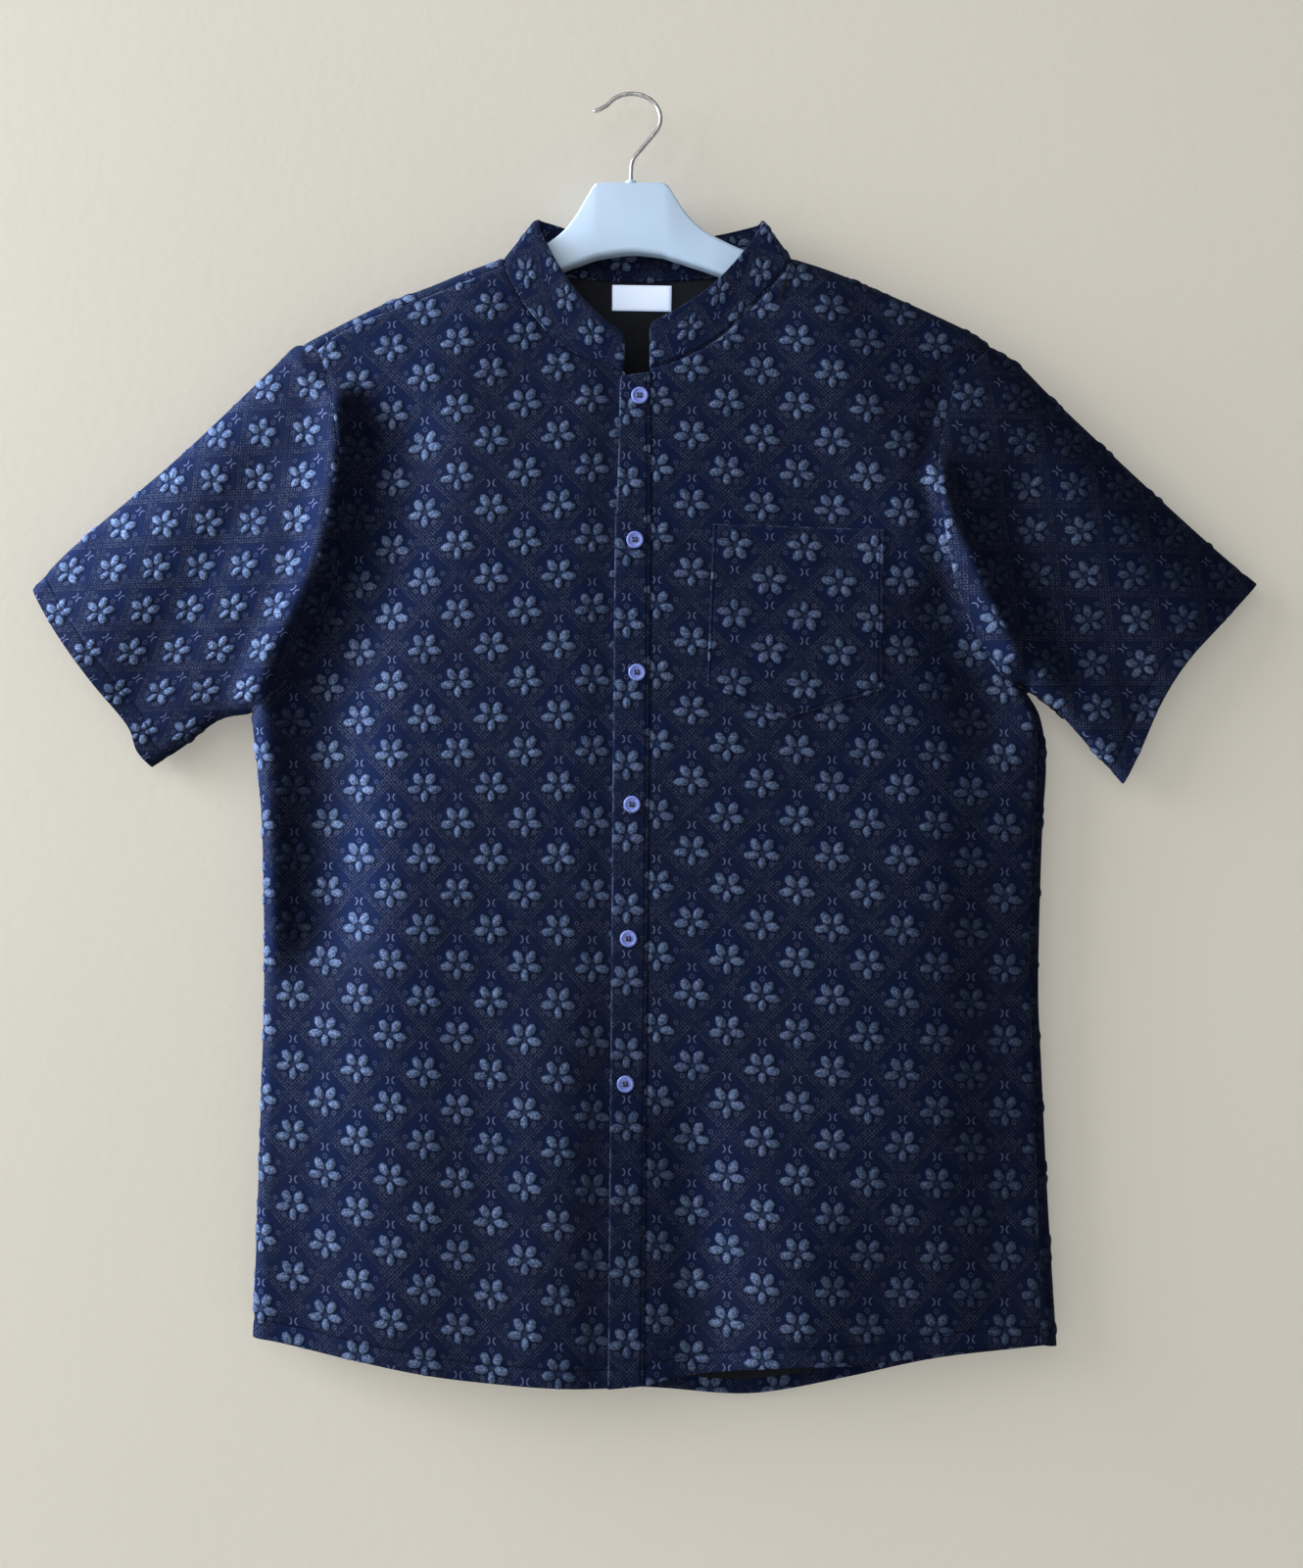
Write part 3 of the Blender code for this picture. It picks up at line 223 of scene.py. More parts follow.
HANGER = [
    # x,    top_z,  low_z, half thickness
    (-213, -170.0, -173.5, 2.6), (-209, -167.4, -175.2, 4.4), (-200, -162.6, -174.8, 5.2),
    (-170, -147.4, -162.0, 5.5), (-138, -134.8, -152.0, 5.6), (-112, -124.6, -143.5, 5.6),
    (-88, -118.4, -136.0, 5.8), (-71, -108.6, -128.5, 6.6), (-58, -100.9, -123.0, 7.0),
    (-48.7, -93.8, -119.5, 7.0), (-42.6, -87.0, -117.0, 7.0), (-36.5, -77.9, -114.8, 7.0),
    (-30.4, -67.2, -112.6, 7.0), (-26.4, -61.4, -111.2, 7.0), (-22, -60.4, -110.2, 7.0),
    (-2, -60.4, -107.6, 7.0), (17, -60.4, -109.2, 7.0), (22.4, -61.6, -110.4, 7.0),
    (26.5, -67.0, -111.8, 7.0), (32.5, -76.8, -113.6, 7.0), (39.6, -85.5, -116.0, 7.0),
    (48.7, -93.1, -119.0, 7.0), (57.9, -98.4, -122.3, 7.0), (75.4, -106.2, -128.5, 6.6),
    (107.5, -117.2, -138.0, 5.8), (138.7, -126.4, -147.0, 5.6), (186, -146.8, -164.0, 5.6),
    (203, -156.0, -172.0, 5.4), (211, -161.4, -172.5, 4.4), (215, -165.8, -170.5, 2.4),
]


# Numbers that are arrays or shader sockets

class Value:
    """A number socket of one finish that takes Python's operators."""

    def __init__(self, finish, socket):
        self.finish, self.socket = finish, socket

    def math(self, operation, *others, first=None):
        terms = ((self,) if first is None else (first, self)) + others
        made = self.finish.node("ShaderNodeMath", {"operation": operation},
                                dict(enumerate(terms)))
        return Value(self.finish, made.outputs[0])

    def __add__(self, other):
        return self.math("ADD", other)

    def __sub__(self, other):
        return self.math("SUBTRACT", other)

    def __rsub__(self, other):
        return self.math("SUBTRACT", first=other)

    def __mul__(self, other):
        return self.math("MULTIPLY", other)

    def __truediv__(self, other):
        return self.math("DIVIDE", other)

    def __abs__(self):
        return self.math("ABSOLUTE")

    __radd__, __rmul__ = __add__, __mul__


def least(a, b):
    return a.math("MINIMUM", b) if isinstance(a, Value) else np.minimum(a, b)


def most(a, b):
    return a.math("MAXIMUM", b) if isinstance(a, Value) else np.maximum(a, b)


def root(a):
    return a.math("SQRT") if isinstance(a, Value) else np.sqrt(a)


def part(a):
    """What is left of a number above the whole number below it."""
    return a.math("FRACT") if isinstance(a, Value) else a - np.floor(a)


def rise(a, low, high):
    """0 at low, 1 at high and smooth between; high may be the smaller one."""
    if isinstance(a, Value):
        turned = low > high
        made = a.finish.node("ShaderNodeMapRange", {"interpolation_type": "SMOOTHSTEP"},
                             {"Value": a, "From Min": min(low, high),
                              "From Max": max(low, high)})
        value = Value(a.finish, made.outputs[0])
        return 1.0 - value if turned else value
    share = np.clip((a - low) / (high - low), 0.0, 1.0)
    return share * share * (3.0 - 2.0 * share)


# The woven repeat, in millimetres from a flower's middle

CELL_RISE = 5.5         # the diamond's middle stands this far above the flower's


def cell(u, v):
    """x, y from the flower's middle, and the place across the diamond each way.

    u and v count repeats across and up the cloth. Flowers stand at whole u + v and
    u - v; the diamond round each one is a unit square in those sums.
    """
    lift = CELL_RISE / REPEAT
    p = part(u + v - lift + 0.5) - 0.5
    q = part(u - v + lift + 0.5) - 0.5
    x = (p + q) * (REPEAT / 2)
    y = (p - q) * (REPEAT / 2) + CELL_RISE
    return x, y, p, q


def ellipse(x, y, at, half, degrees):
    """Distance from a point over the radius of a turned ellipse, squared."""
    turn = math.radians(degrees)
    dx, dy = x - at[0], y - at[1]
    across = (dx * math.cos(turn) + dy * math.sin(turn)) / half[0]
    up = (dy * math.cos(turn) - dx * math.sin(turn)) / half[1]
    return across * across + up * up


def petals(x, y):
    """Squared distance to the nearest of five petals: 1 on its rim, 0 in its middle."""
    side = abs(x)
    return least(least(ellipse(side, y, (7.0, -2.5), (5.1, 3.0), -6.0),
                       ellipse(side, y, (4.25, 4.5), (4.6, 3.3), 54.0)),
                 ellipse(x, y, (0.0, -7.2), (2.75, 4.1), 0.0))


def puff(x, y):
    """Height of the petals: half an ellipsoid over each."""
    return root(most(1.0 - petals(x, y), 0.0))


def ring(x, y, at, radius, half):
    """A small ring: 1 on its line, 0 off it. Works on x's distance from the middle."""
    dx, dy = x - at[0], y - at[1]
    return rise(abs(root(dx * dx + dy * dy) - radius), half, half * 0.35)


def marks(x, y):
    """Shares of the small rings and of the pair of bent strokes round a flower."""
    side = abs(x)
    rings = most(ring(side, y, (12.8, 3.1), 1.2, 0.6),
                 ring(side, y, (6.4, -8.0), 1.2, 0.6))
    rings = most(rings, ring(x, y, (0.0, 10.0), 1.3, 0.6))
    dx, dy = side - 4.2, y - 16.0
    bend = rise(abs(root(dx * dx + dy * dy) - 2.9), 0.62, 0.2) * rise(abs(dy), 2.7, 2.2)
    return rings, bend * rise(side, 4.0, 3.6)


def edging(p, q):
    """Two rows of little square rings on each side of every diamond's border."""
    pitch = REPEAT / math.sqrt(2.0)
    count = 8.0

    def row(across, along_it):
        off = abs((0.5 - abs(across)) * pitch - 2.05)
        run = abs(part(along_it * count) - 0.5) * (pitch / count)
        return rise(abs(most(off, run) - 1.2), 0.55, 0.2)
    return most(row(p, q), row(q, p))


# Finishes

class Finish:
    """A material with one Principled shader, and the nodes that feed it."""

    def __init__(self, name, constants):
        self.material = bpy.data.materials.new(name)
        self.material.use_nodes = True
        self.tree = self.material.node_tree
        self.shader = self.tree.nodes["Principled BSDF"]
        for socket, value in constants.items():
            self.shader.inputs[socket].default_value = value

    def node(self, kind, settings=None, sockets=None):
        made = self.tree.nodes.new(kind)
        for name, value in (settings or {}).items():
            setattr(made, name, value)
        for name, value in (sockets or {}).items():
            if isinstance(value, Value):
                value = value.socket
            if isinstance(value, bpy.types.NodeSocket):
                self.tree.links.new(value, made.inputs[name])
            else:
                made.inputs[name].default_value = value
        return made

    def value(self, node, output=0):
        return Value(self, node.outputs[output])

    def mix(self, factor, a, b):
        """Colour a turning to colour b as the factor goes from 0 to 1."""
        made = self.node("ShaderNodeMix", {"data_type": "RGBA"}, {"Factor": factor})
        for number, colour in ((6, a), (7, b)):
            if isinstance(colour, bpy.types.NodeSocket):
                self.tree.links.new(colour, made.inputs[number])
            else:
                made.inputs[number].default_value = tuple(colour) + (1.0,)
        return made.outputs[2]

    def noise(self, where, scale, detail=2.0, rough=0.5):
        made = self.node("ShaderNodeTexNoise", {"noise_dimensions": "3D"},
                         {"Vector": where, "Scale": scale, "Detail": detail,
                          "Roughness": rough})
        return self.value(made)

    def mottle(self, share, low, high, a, b):
        """Colour a where the share is low, turning to colour b where it is high."""
        return self.mix(rise(share, low, high), a, b)

    def split(self, where):
        made = self.node("ShaderNodeSeparateXYZ", None, {"Vector": where})
        return [self.value(made, k) for k in range(3)]

    def place(self):
        return self.node("ShaderNodeTexCoord").outputs["Object"]

    def bump(self, height, strength=1.0):
        """height in millimetres."""
        made = self.node("ShaderNodeBump", None,
                         {"Height": height, "Distance": 0.001, "Strength": strength})
        self.link("Normal", made.outputs[0])

    def link(self, socket, value):
        value = value.socket if isinstance(value, Value) else value
        self.tree.links.new(value, self.shader.inputs[socket])


def scaled(colour, by):
    return tuple(c * by for c in colour)


# Colours of the cloth, linear
GROUND = (0.0042, 0.0092, 0.0375)
GROUND_WARM = (0.0060, 0.0098, 0.0330)
BORDER = (0.0062, 0.0088, 0.0235)
PETAL = (0.036, 0.058, 0.128)
PETAL_LIT = (0.130, 0.178, 0.300)
EDGING = (0.046, 0.060, 0.112)
STROKE = (0.100, 0.118, 0.215)
FOLD_HIGHLIGHT = (0.085, 0.105, 0.180)
INSIDE = (0.0170, 0.0185, 0.0245)


def cloth_finish(name):
    """Puffed jacquard with a short pile: dark ground, slate petals, fine rings.

    The tilt map holds the cloth's slope toward the wearer's left, with a lean added for a piece
    cut turned. The colour is painted darker where the cloth turns that way and lighter where it
    turns toward the wearer's right, the petals more so: painted shade and painted highlight
    standing in for light from the west.
    slope and by the turn of its cut; the cloth and its petals look deeper there.
    """
    made = Finish(name, {"Roughness": 0.90, "Specular IOR Level": 0.04,
                         "Sheen Weight": 0.035, "Sheen Roughness": 0.5,
                         "Sheen Tint": (0.30, 0.50, 1.0, 1.0)})
    lay = made.node("ShaderNodeUVMap", {"uv_map": "lay"}).outputs[0]
    seam = made.node("ShaderNodeUVMap", {"uv_map": "seam"}).outputs[0]
    u, v, _ = made.split(lay)
    edge, off, _ = made.split(seam)
    tilt, _, _ = made.split(made.node("ShaderNodeUVMap", {"uv_map": "tilt"}).outputs[0])
    where = made.place()
    x, y, p, q = cell(u, v)
    patchy = made.noise(where, 95.0, 3.0, 0.6)
    speck = made.noise(where, 820.0, 2.0, 0.65)
    ragged = made.noise(where, 430.0, 1.0, 0.5)
    near = petals(x, y) + 0.9 * (ragged - 0.5)
    rings, strokes = marks(x, y)
    squares = edging(p, q)
    broad = made.noise(where, 14.0, 2.0, 0.5)
    faint = rise(patchy, 0.34, 0.62)
    colour = made.mottle(broad, 0.35, 0.65, GROUND, GROUND_WARM)
    zone = rise(most(abs(p), abs(q)), 0.30, 0.40)
    colour = made.mix(zone * (0.25 + 0.4 * faint), colour, BORDER)
    colour = made.mix(squares * (0.14 + 0.60 * faint) * rise(speck, 0.34, 0.60), colour, EDGING)
    colour = made.mix(rings * 0.6, colour, EDGING)
    colour = made.mix(strokes * (0.45 + 0.55 * rise(speck, 0.35, 0.6)), colour, STROKE)
    web = rise(x * x + y * y, 18.0, 5.0)
    colour = made.mix(web * 0.35, colour, PETAL)
    rim = rise(near, 1.75, 1.10)
    colour = made.mix(rim * 0.60, colour, scaled(GROUND, 0.5))
    petal = made.mottle(speck, 0.40, 0.62, PETAL, PETAL_LIT)
    shade = rise(near, 1.12, 0.72) * (0.62 + 0.38 * rise(near, 0.9, 0.2))
    # Painted highlight and painted shade on the petals: brighter where the cloth turns toward
    # the wearer's right, much darker where it turns toward the wearer's left
    gloss = least(most(1.0 - 3.0 * tilt, 0.25), 1.1)
    colour = made.mix(shade * (0.60 + 0.30 * faint) * gloss, colour, petal)
    # Painted highlight: a broken light line along folded edges, where they would catch the
    # light
    edge_highlight = rise(edge, 0.0012, 0.0003) * rise(patchy, 0.42, 0.62) * rise(speck, 0.3, 0.6)
    colour = made.mix(edge_highlight * 0.7, colour, FOLD_HIGHLIGHT)
    groove = rise(abs(off), 0.00125, 0.0)
    colour = made.mix(groove * 0.6, colour, scaled(GROUND, 0.4))
    # Painted side light: the whole colour is scaled down where the cloth faces the wearer's
    # left and up where it faces the wearer's right
    pile_side_light = least(most(1.0 - 1.6 * tilt, 0.45), 1.6)
    colour = made.node("ShaderNodeVectorMath", {"operation": "SCALE"},
                       {0: colour, 3: pile_side_light}).outputs[0]
    made.link("Base Color", colour)
    weave = made.noise(where, 1500.0, 2.0, 0.6)
    height = (0.50 * root(most(1.0 - near, 0.0)) + 0.14 * most(rings, squares)
              + 0.16 * strokes + 0.22 * speck * (0.3 + 0.7 * rise(near, 1.2, 0.8))
              + 0.07 * weave - 0.40 * groove)
    made.bump(height, 0.9)
    return made.material


def inside_finish():
    """The cloth's plain wrong side."""
    made = Finish("cloth_wrong_side", {"Roughness": 0.92, "Specular IOR Level": 0.05,
                                       "Sheen Weight": 0.02, "Sheen Roughness": 0.5})
    where = made.place()
    grain = made.noise(where, 1100.0, 3.0, 0.7)
    drift = made.noise(where, 22.0, 2.0, 0.5)
    made.link("Base Color", made.mottle(grain * 0.7 + drift * 0.3, 0.35, 0.65,
                                        scaled(INSIDE, 0.7), scaled(INSIDE, 1.25)))
    made.bump(grain * 0.12, 0.8)
    return made.material


def thread_finish(name, colour):
    made = Finish(name, {"Roughness": 0.6, "Specular IOR Level": 0.35})
    twist = made.noise(made.place(), 2600.0, 2.0, 0.6)
    made.link("Base Color", made.mottle(twist, 0.3, 0.7, scaled(colour, 0.7), colour))
    made.bump(twist * 0.08, 0.8)
    return made.material


def label_finish():
    """White satin tape: a fine rib, and a slight grey unevenness, with a painted blue-white
    glow that keeps it bright in the neck's shade.
    """
    made = Finish("label_tape", {"Roughness": 0.62, "Specular IOR Level": 0.4,
                                 "Sheen Weight": 0.1, "Sheen Roughness": 0.4,
                                 # Painted light: the tape glows blue-white so it stays bright
                                 # inside the shaded neck
                                 "Emission Color": (0.43, 0.62, 1.0, 1.0),
                                 "Emission Strength": 0.45})
    where = made.place()
    rib = (made.split(where)[2] * 9000.0).math("SINE")
    drift = made.noise(where, 260.0, 3.0, 0.6)
    made.link("Base Color", made.mottle(drift, 0.3, 0.7, (0.86, 0.92, 1.00),
                                        (0.93, 0.97, 1.00)))
    made.bump(rib * 0.03 + drift * 0.10, 0.7)
    return made.material


def button_finish():
    """Periwinkle polyester: a soft gloss with faint pearly drift."""
    made = Finish("button_periwinkle", {"Specular IOR Level": 0.5, "Coat Weight": 0.15,
                                        "Coat Roughness": 0.2})
    where = made.place()
    drift = made.noise(where, 420.0, 3.0, 0.6)
    made.link("Base Color", made.mottle(drift, 0.3, 0.7, (0.130, 0.180, 0.510),
                                        (0.190, 0.250, 0.680)))
    fine = made.noise(where, 2200.0, 2.0, 0.5)
    made.link("Roughness", 0.30 + 0.14 * fine)
    made.bump(fine * 0.02, 0.6)
    return made.material


def hanger_finish():
    """Moulded plastic: pale blue white, with a faint flow and handling marks."""
    made = Finish("hanger_plastic", {"Specular IOR Level": 0.5,
                                     "Subsurface Weight": 0.04})
    where = made.place()
    flow = made.noise(where, 18.0, 3.0, 0.5)
    dust = made.noise(where, 160.0, 4.0, 0.7)
    colour = made.mottle(flow, 0.35, 0.65, (0.465, 0.615, 0.825), (0.505, 0.660, 0.870))
    colour = made.mix(rise(dust, 0.60, 0.85) * 0.25, colour, (0.40, 0.50, 0.64))
    made.link("Base Color", colour)
    fine = made.noise(where, 1300.0, 3.0, 0.6)
    made.link("Roughness", 0.34 + 0.16 * fine + 0.10 * rise(dust, 0.4, 0.8))
    made.bump(fine * 0.035 + dust * 0.03, 0.6)
    return made.material


def hook_finish():
    """Drawn zinc-plated wire: fine lengthwise drawing marks and dull spots."""
    made = Finish("hook_wire", {"Metallic": 1.0})
    where = made.place()
    spots = made.noise(where, 330.0, 4.0, 0.65)
    drawn = made.noise(where, 1600.0, 2.0, 0.5)
    made.link("Base Color", made.mottle(spots, 0.35, 0.7, (0.36, 0.37, 0.39),
                                        (0.60, 0.61, 0.63)))
    made.link("Roughness", 0.20 + 0.22 * rise(spots, 0.7, 0.35))
    made.bump(drawn * 0.02, 0.6)
    return made.material


# Lines in the outline's plane

def rounded(table, count=12):
    """A Catmull-Rom curve through the table's points, count steps to a span."""
    points = np.array(table, float)
    before = np.vstack([2 * points[0] - points[1], points, 2 * points[-1] - points[-2]])
    share = np.linspace(0.0, 1.0, count, endpoint=False)[:, None]
    fine = [0.5 * (2 * b + (c - a) * share + (2 * a - 5 * b + 4 * c - d) * share ** 2
                   + (3 * b - a - 3 * c + d) * share ** 3)
            for a, b, c, d in zip(before[:-3], before[1:-2], before[2:-1], before[3:])]
    return np.vstack(fine + [points[-1:]])


def run_of(line):
    """Length along a line at each of its points."""
    return np.concatenate([[0.0], np.cumsum(np.linalg.norm(np.diff(line, axis=0), axis=1))])


def at_share(line, share):
    """Points at the given shares of a line's length."""
    run = run_of(line)
    return np.column_stack([np.interp(np.asarray(share) * run[-1], run, line[:, k])
                            for k in range(line.shape[1])])


def line_distance(points, line):
    """Distance of each point to a line, by its nearest segment."""
    a, along = line[:-1], np.diff(line, axis=0)
    length = np.maximum((along ** 2).sum(1), 1e-12)
    best = np.full(len(points), np.inf)
    for start, step, size in zip(a, along, length):
        share = np.clip(((points - start) @ step) / size, 0.0, 1.0)
        best = np.minimum(best, np.linalg.norm(points - start - share[:, None] * step,
                                               axis=1))
    return best


def inside(points, polygon):
    """Whether each point lies in a closed polygon, by counting crossings."""
    x, z = points[:, 0], points[:, 1]
    count = np.zeros(len(points), int)
    for (ax, az), (bx, bz) in zip(polygon, np.roll(polygon, -1, axis=0)):
        if az != bz:
            count += ((az > z) != (bz > z)) & (x < ax + (z - az) * (bx - ax) / (bz - az))
    return count % 2 == 1


# The two skins

def ease(value):
    value = np.clip(value, 0.0, 1.0)
    return value * value * (3.0 - 2.0 * value)


class Fold:
    """A round fold where the front skin turns into the back one."""

    def __init__(self, name, shape):
        self.name = name
        line = rounded(OUTLINE[name])
        steps = round(run_of(line)[-1] / 6.0)
        self.line = self.field = at_share(line, np.linspace(0.0, 1.0, steps + 1))
        if name.startswith("ridge"):
            on = self.line[0] - self.line[1]
            on = self.line[0] + on / np.linalg.norm(on) * NECK_REACH
            self.field = np.vstack([on, self.line])
        self.front, self.back = shape[0:2], shape[2:4]
        self.swell, self.reach = shape[4:6]


FOLDS = [Fold(kind + side, shape) for kind, shape in FOLD_SHAPES.items()
         for side in ("_west", "_east")]


def skin_y(points, skin):
    """Y of a skin over points of the outline's plane.

    Behind each fold the cloth rolls as a quarter ellipse, then swells slowly; near
    several folds their shapes are shared by nearness. Creases are soft bell-shaped
    crests and troughs about straight lines.
    """
    each = np.array([line_distance(points, fold.field) for fold in FOLDS])
    power = 1.0 / np.maximum(each, 1e-6) ** 4
    total = power.sum(0)
    distance, weight = total ** -0.25, (power / total).T
    distance = np.where(distance < 1e-4, 0.0, distance)
    shape = [fold.front if skin == "front" else fold.back for fold in FOLDS]
    roll = weight @ np.array([s[0] for s in shape])
    reach = weight @ np.array([s[1] for s in shape])
    swell = weight @ np.array([fold.swell for fold in FOLDS])
    far = weight @ np.array([fold.reach for fold in FOLDS])
    near = 1.0 - np.minimum(distance / reach, 1.0)
    hem = 1.0 - HEM_FLATTEN * ease((-690.0 - points[:, 1]) / 180.0)
    share = 1.0 if skin == "front" else BACK_SWELL
    crease = np.zeros(len(points))
    for kind, x1, z1, x2, z2, half_width, height in CREASES:
        if kind == skin:
            away = line_distance(points, np.array([(x1, z1), (x2, z2)], float))
            crease += height * np.exp(-(away / half_width) ** 2)
    for kind, half_width, height, line in ROLLS:
        if kind == skin:
            away = line_distance(points, rounded(line, 4))
            crease += height * np.exp(-(away / half_width) ** 2)
    depth = (roll * np.sqrt(1.0 - near ** 2)
             + share * hem * swell * (1.0 - np.exp(-distance / far))
             + crease * (1.0 - np.exp(-distance / 9.0)))
    x = points[:, 0]
    lean = SLEEVE_LEAN * (ease((-225.0 - x) / 187.0) + ease((x - 243.0) / 184.0))
    return lean + (-depth if skin == "front" else depth)


# Grids

FOLD_STOPS = np.array([0.0, 0.12, 0.45, 1.0, 1.8, 2.8, 4.1, 5.7, 7.4])
SEWN_STOPS = np.array([0.0, 0.6, 1.4, 2.5, 3.9])
PLAIN_STOPS = np.array([0.0])


def joined(*lines):
    return np.vstack([line[:-1] for line in lines[:-1]] + [lines[-1]])


def length_of(line):
    return run_of(line)[-1]


def shares(length, step, first=PLAIN_STOPS, last=PLAIN_STOPS):
    """Shares 0..1 along a length: even steps, with closer stops at either end.

    The count of steps is a multiple of three, for the inner side's coarser grid.
    """
    room = length - first[-1] - last[-1]
    count = max(2, round(room / step))
    while (count + len(first) + len(last) - 2) % 3:
        count += 1
    even = np.linspace(first[-1], length - last[-1], count + 1)
    return np.concatenate([first[:-1], even, (length - last[:-1])[::-1]]) / length


def spread(top, low, start, end):
    """A Coons patch: a grid between four border lines whose corners agree.

    Each point is the straight blend from top to low plus the one from start to end,
    less the blend of the four corners.
    """
    def along(*lines):
        each = [run_of(line) / length_of(line) for line in lines if length_of(line) > 0.0]
        return sum(each) / len(each)

    u, v = along(top, low)[None, :, None], along(start, end)[:, None, None]
    ruled = (1 - v) * top[None] + v * low[None] + (1 - u) * start[:, None] + u * end[:, None]
    corners = ((1 - u) * (1 - v) * top[0] + u * (1 - v) * top[-1]
               + (1 - u) * v * low[0] + u * v * low[-1])
    grid = ruled - corners
    grid[0], grid[-1], grid[:, 0], grid[:, -1] = top, low, start, end
    return grid


def lay_of(grid, name):
    """Repeats across and up the cloth at each outline point of a grid.

    The outline's offset from the anchor is solved for the right and down steps. The
    row pitch, the rows' slope and the columns' direction change evenly with the fall.
    """
    x0, z0, rx, rz, dx, dz, pitch, slope, bend = LAYS[name]
    x, fall = grid[..., 0] - x0, z0 - grid[..., 1]
    x = x + bend * np.maximum(fall, 0.0) ** 2
    fall = fall + slope * fall * x
    drop = fall if pitch == 0.0 else np.log(np.maximum(1.0 + pitch * fall, 0.05)) / pitch
    steps = np.linalg.inv(np.array([[rx, dx], [rz, dz]]))
    counted = np.stack([x, -drop], axis=-1) @ steps.T
    return np.stack([counted[..., 0], -counted[..., 1]], axis=-1)


class Patch:
    """One grid of a cloth piece: its places, its outer side's lift and its lay.

    Rows run down. Columns run so that the faces look out of the shirt.
    """

    def __init__(self, flat, skin, lay, shift, plain=None):
        middle = flat.shape[0] // 2
        if (flat[middle, -1, 0] > flat[middle, 0, 0]) != (skin == "front"):
            flat = flat[:, ::-1]
            shift = shift[:, ::-1] if np.ndim(shift) else shift
        self.points = flat.reshape(-1, 2)
        y = skin_y(self.points, skin).reshape(flat.shape[:2]) + shift
        self.base = np.stack([flat[..., 0], y, flat[..., 1]], axis=-1)
        self.lay = lay_of(flat, lay)
        # The cut's turn leans the pile sideways; the finish paints that lean as side light
        down = LAYS[lay][4:6]
        self.pile_side_light = np.full(flat.shape[:2], PILE_SIDE_LIGHT_TURN * down[0] / math.hypot(*down))
        self.lift = PUFF * puff(*cell(self.lay[..., 0], self.lay[..., 1])[:2])
        if plain is not None:
            self.lift = self.lift * (1.0 - self.mask(plain))
        self.seam = np.full(flat.shape, 0.02)
        self.turned = np.zeros(self.lift.shape, bool)

    def away(self, line):
        return line_distance(self.points, line).reshape(self.lift.shape)

    def mask(self, polygon, soft=3.0):
        """1 in a polygon, fading to 0 round it."""
        within = inside(self.points, polygon).reshape(self.lift.shape)
        closed = np.vstack([polygon, polygon[:1]])
        return np.where(within, 1.0, 1.0 - ease(self.away(closed) / soft))

    def dip(self, *lines, depth=0.75, reach=1.8):
        """Sink the outer side toward sewn lines, and end the puff there."""
        for line in lines:
            away = self.away(line)
            self.lift = self.lift * ease(away / 3.0) - depth * np.exp(-(away / reach) ** 2)
        return self

    def round_off(self, *lines, radius=1.2, drop=0.8):
        """Round the outer side down to free edges, as a quarter circle."""
        for line in lines:
            near = 1.0 - np.minimum(self.away(line) / radius, 1.0)
            self.lift = self.lift - drop * (1.0 - np.sqrt(1.0 - near ** 2))
        return self

    def stitched(self, *lines, inset=TURN_UP):
        """Keep the distance, in metres, to a row of stitches inset from the lines."""
        for line in lines:
            away = (self.away(line) - inset) * 0.001
            self.seam[..., 1] = np.where(np.abs(away) < np.abs(self.seam[..., 1]), away,
                                         self.seam[..., 1])
        return self

    def hemmed(self, line):
        """A turn-up inside, stitched a little below its upper edge, slightly puckered."""
        away = self.away(line)
        self.turned |= away < TURN_UP + 1.0
        pucker = np.sin(self.lay[..., 0] * REPEAT * 1.1) * np.sin(self.lay[..., 0] * 17.0)
        near = np.exp(-((away - TURN_UP) / 2.6) ** 2)
        self.lift = self.lift - near * (0.45 + 0.22 * pucker)
        return self.stitched(line)

    def edge_highlight(self, *lines):
        """Keep the distance, in metres, to folded edges that get a painted highlight."""
        for line in lines:
            self.seam[..., 0] = np.minimum(self.seam[..., 0], self.away(line) * 0.001)
        return self


def quads(index):
    return np.stack([index[:-1, :-1], index[1:, :-1], index[1:, 1:], index[:-1, 1:]],
                    axis=-1).reshape(-1, 4)


def borders(grids, count):
    """The welded grids' open borders, as rows of four neighbouring points.

    Every coarse face gives its four sides in order; a side is open where no other
    face runs along it the other way.
    """
    sides = []
    for g in grids:
        column, row = g[:, ::3], g[::3]
        rows = [column[k:len(g) - 3 + k:3] for k in range(4)]
        columns = [row[:, k:g.shape[1] - 3 + k:3] for k in range(4)]
        sides += [np.stack([r[:, :-1].ravel() for r in rows], 1),
                  np.stack([r[:, 1:].ravel() for r in rows[::-1]], 1),
                  np.stack([c[1:].ravel() for c in columns], 1),
                  np.stack([c[:-1].ravel() for c in columns[::-1]], 1)]
    sides = np.vstack(sides)
    key, back = sides[:, 0] * count + sides[:, 3], sides[:, 3] * count + sides[:, 0]
    return sides[~np.isin(key, back)]


def tidy(faces):
    """Faces as lists, without the doubled point of those that end in a point."""
    doubled = (faces == np.roll(faces, 1, axis=1)).any(axis=1)
    return faces[~doubled].tolist() + [list(dict.fromkeys(f)) for f in faces[doubled].tolist()]


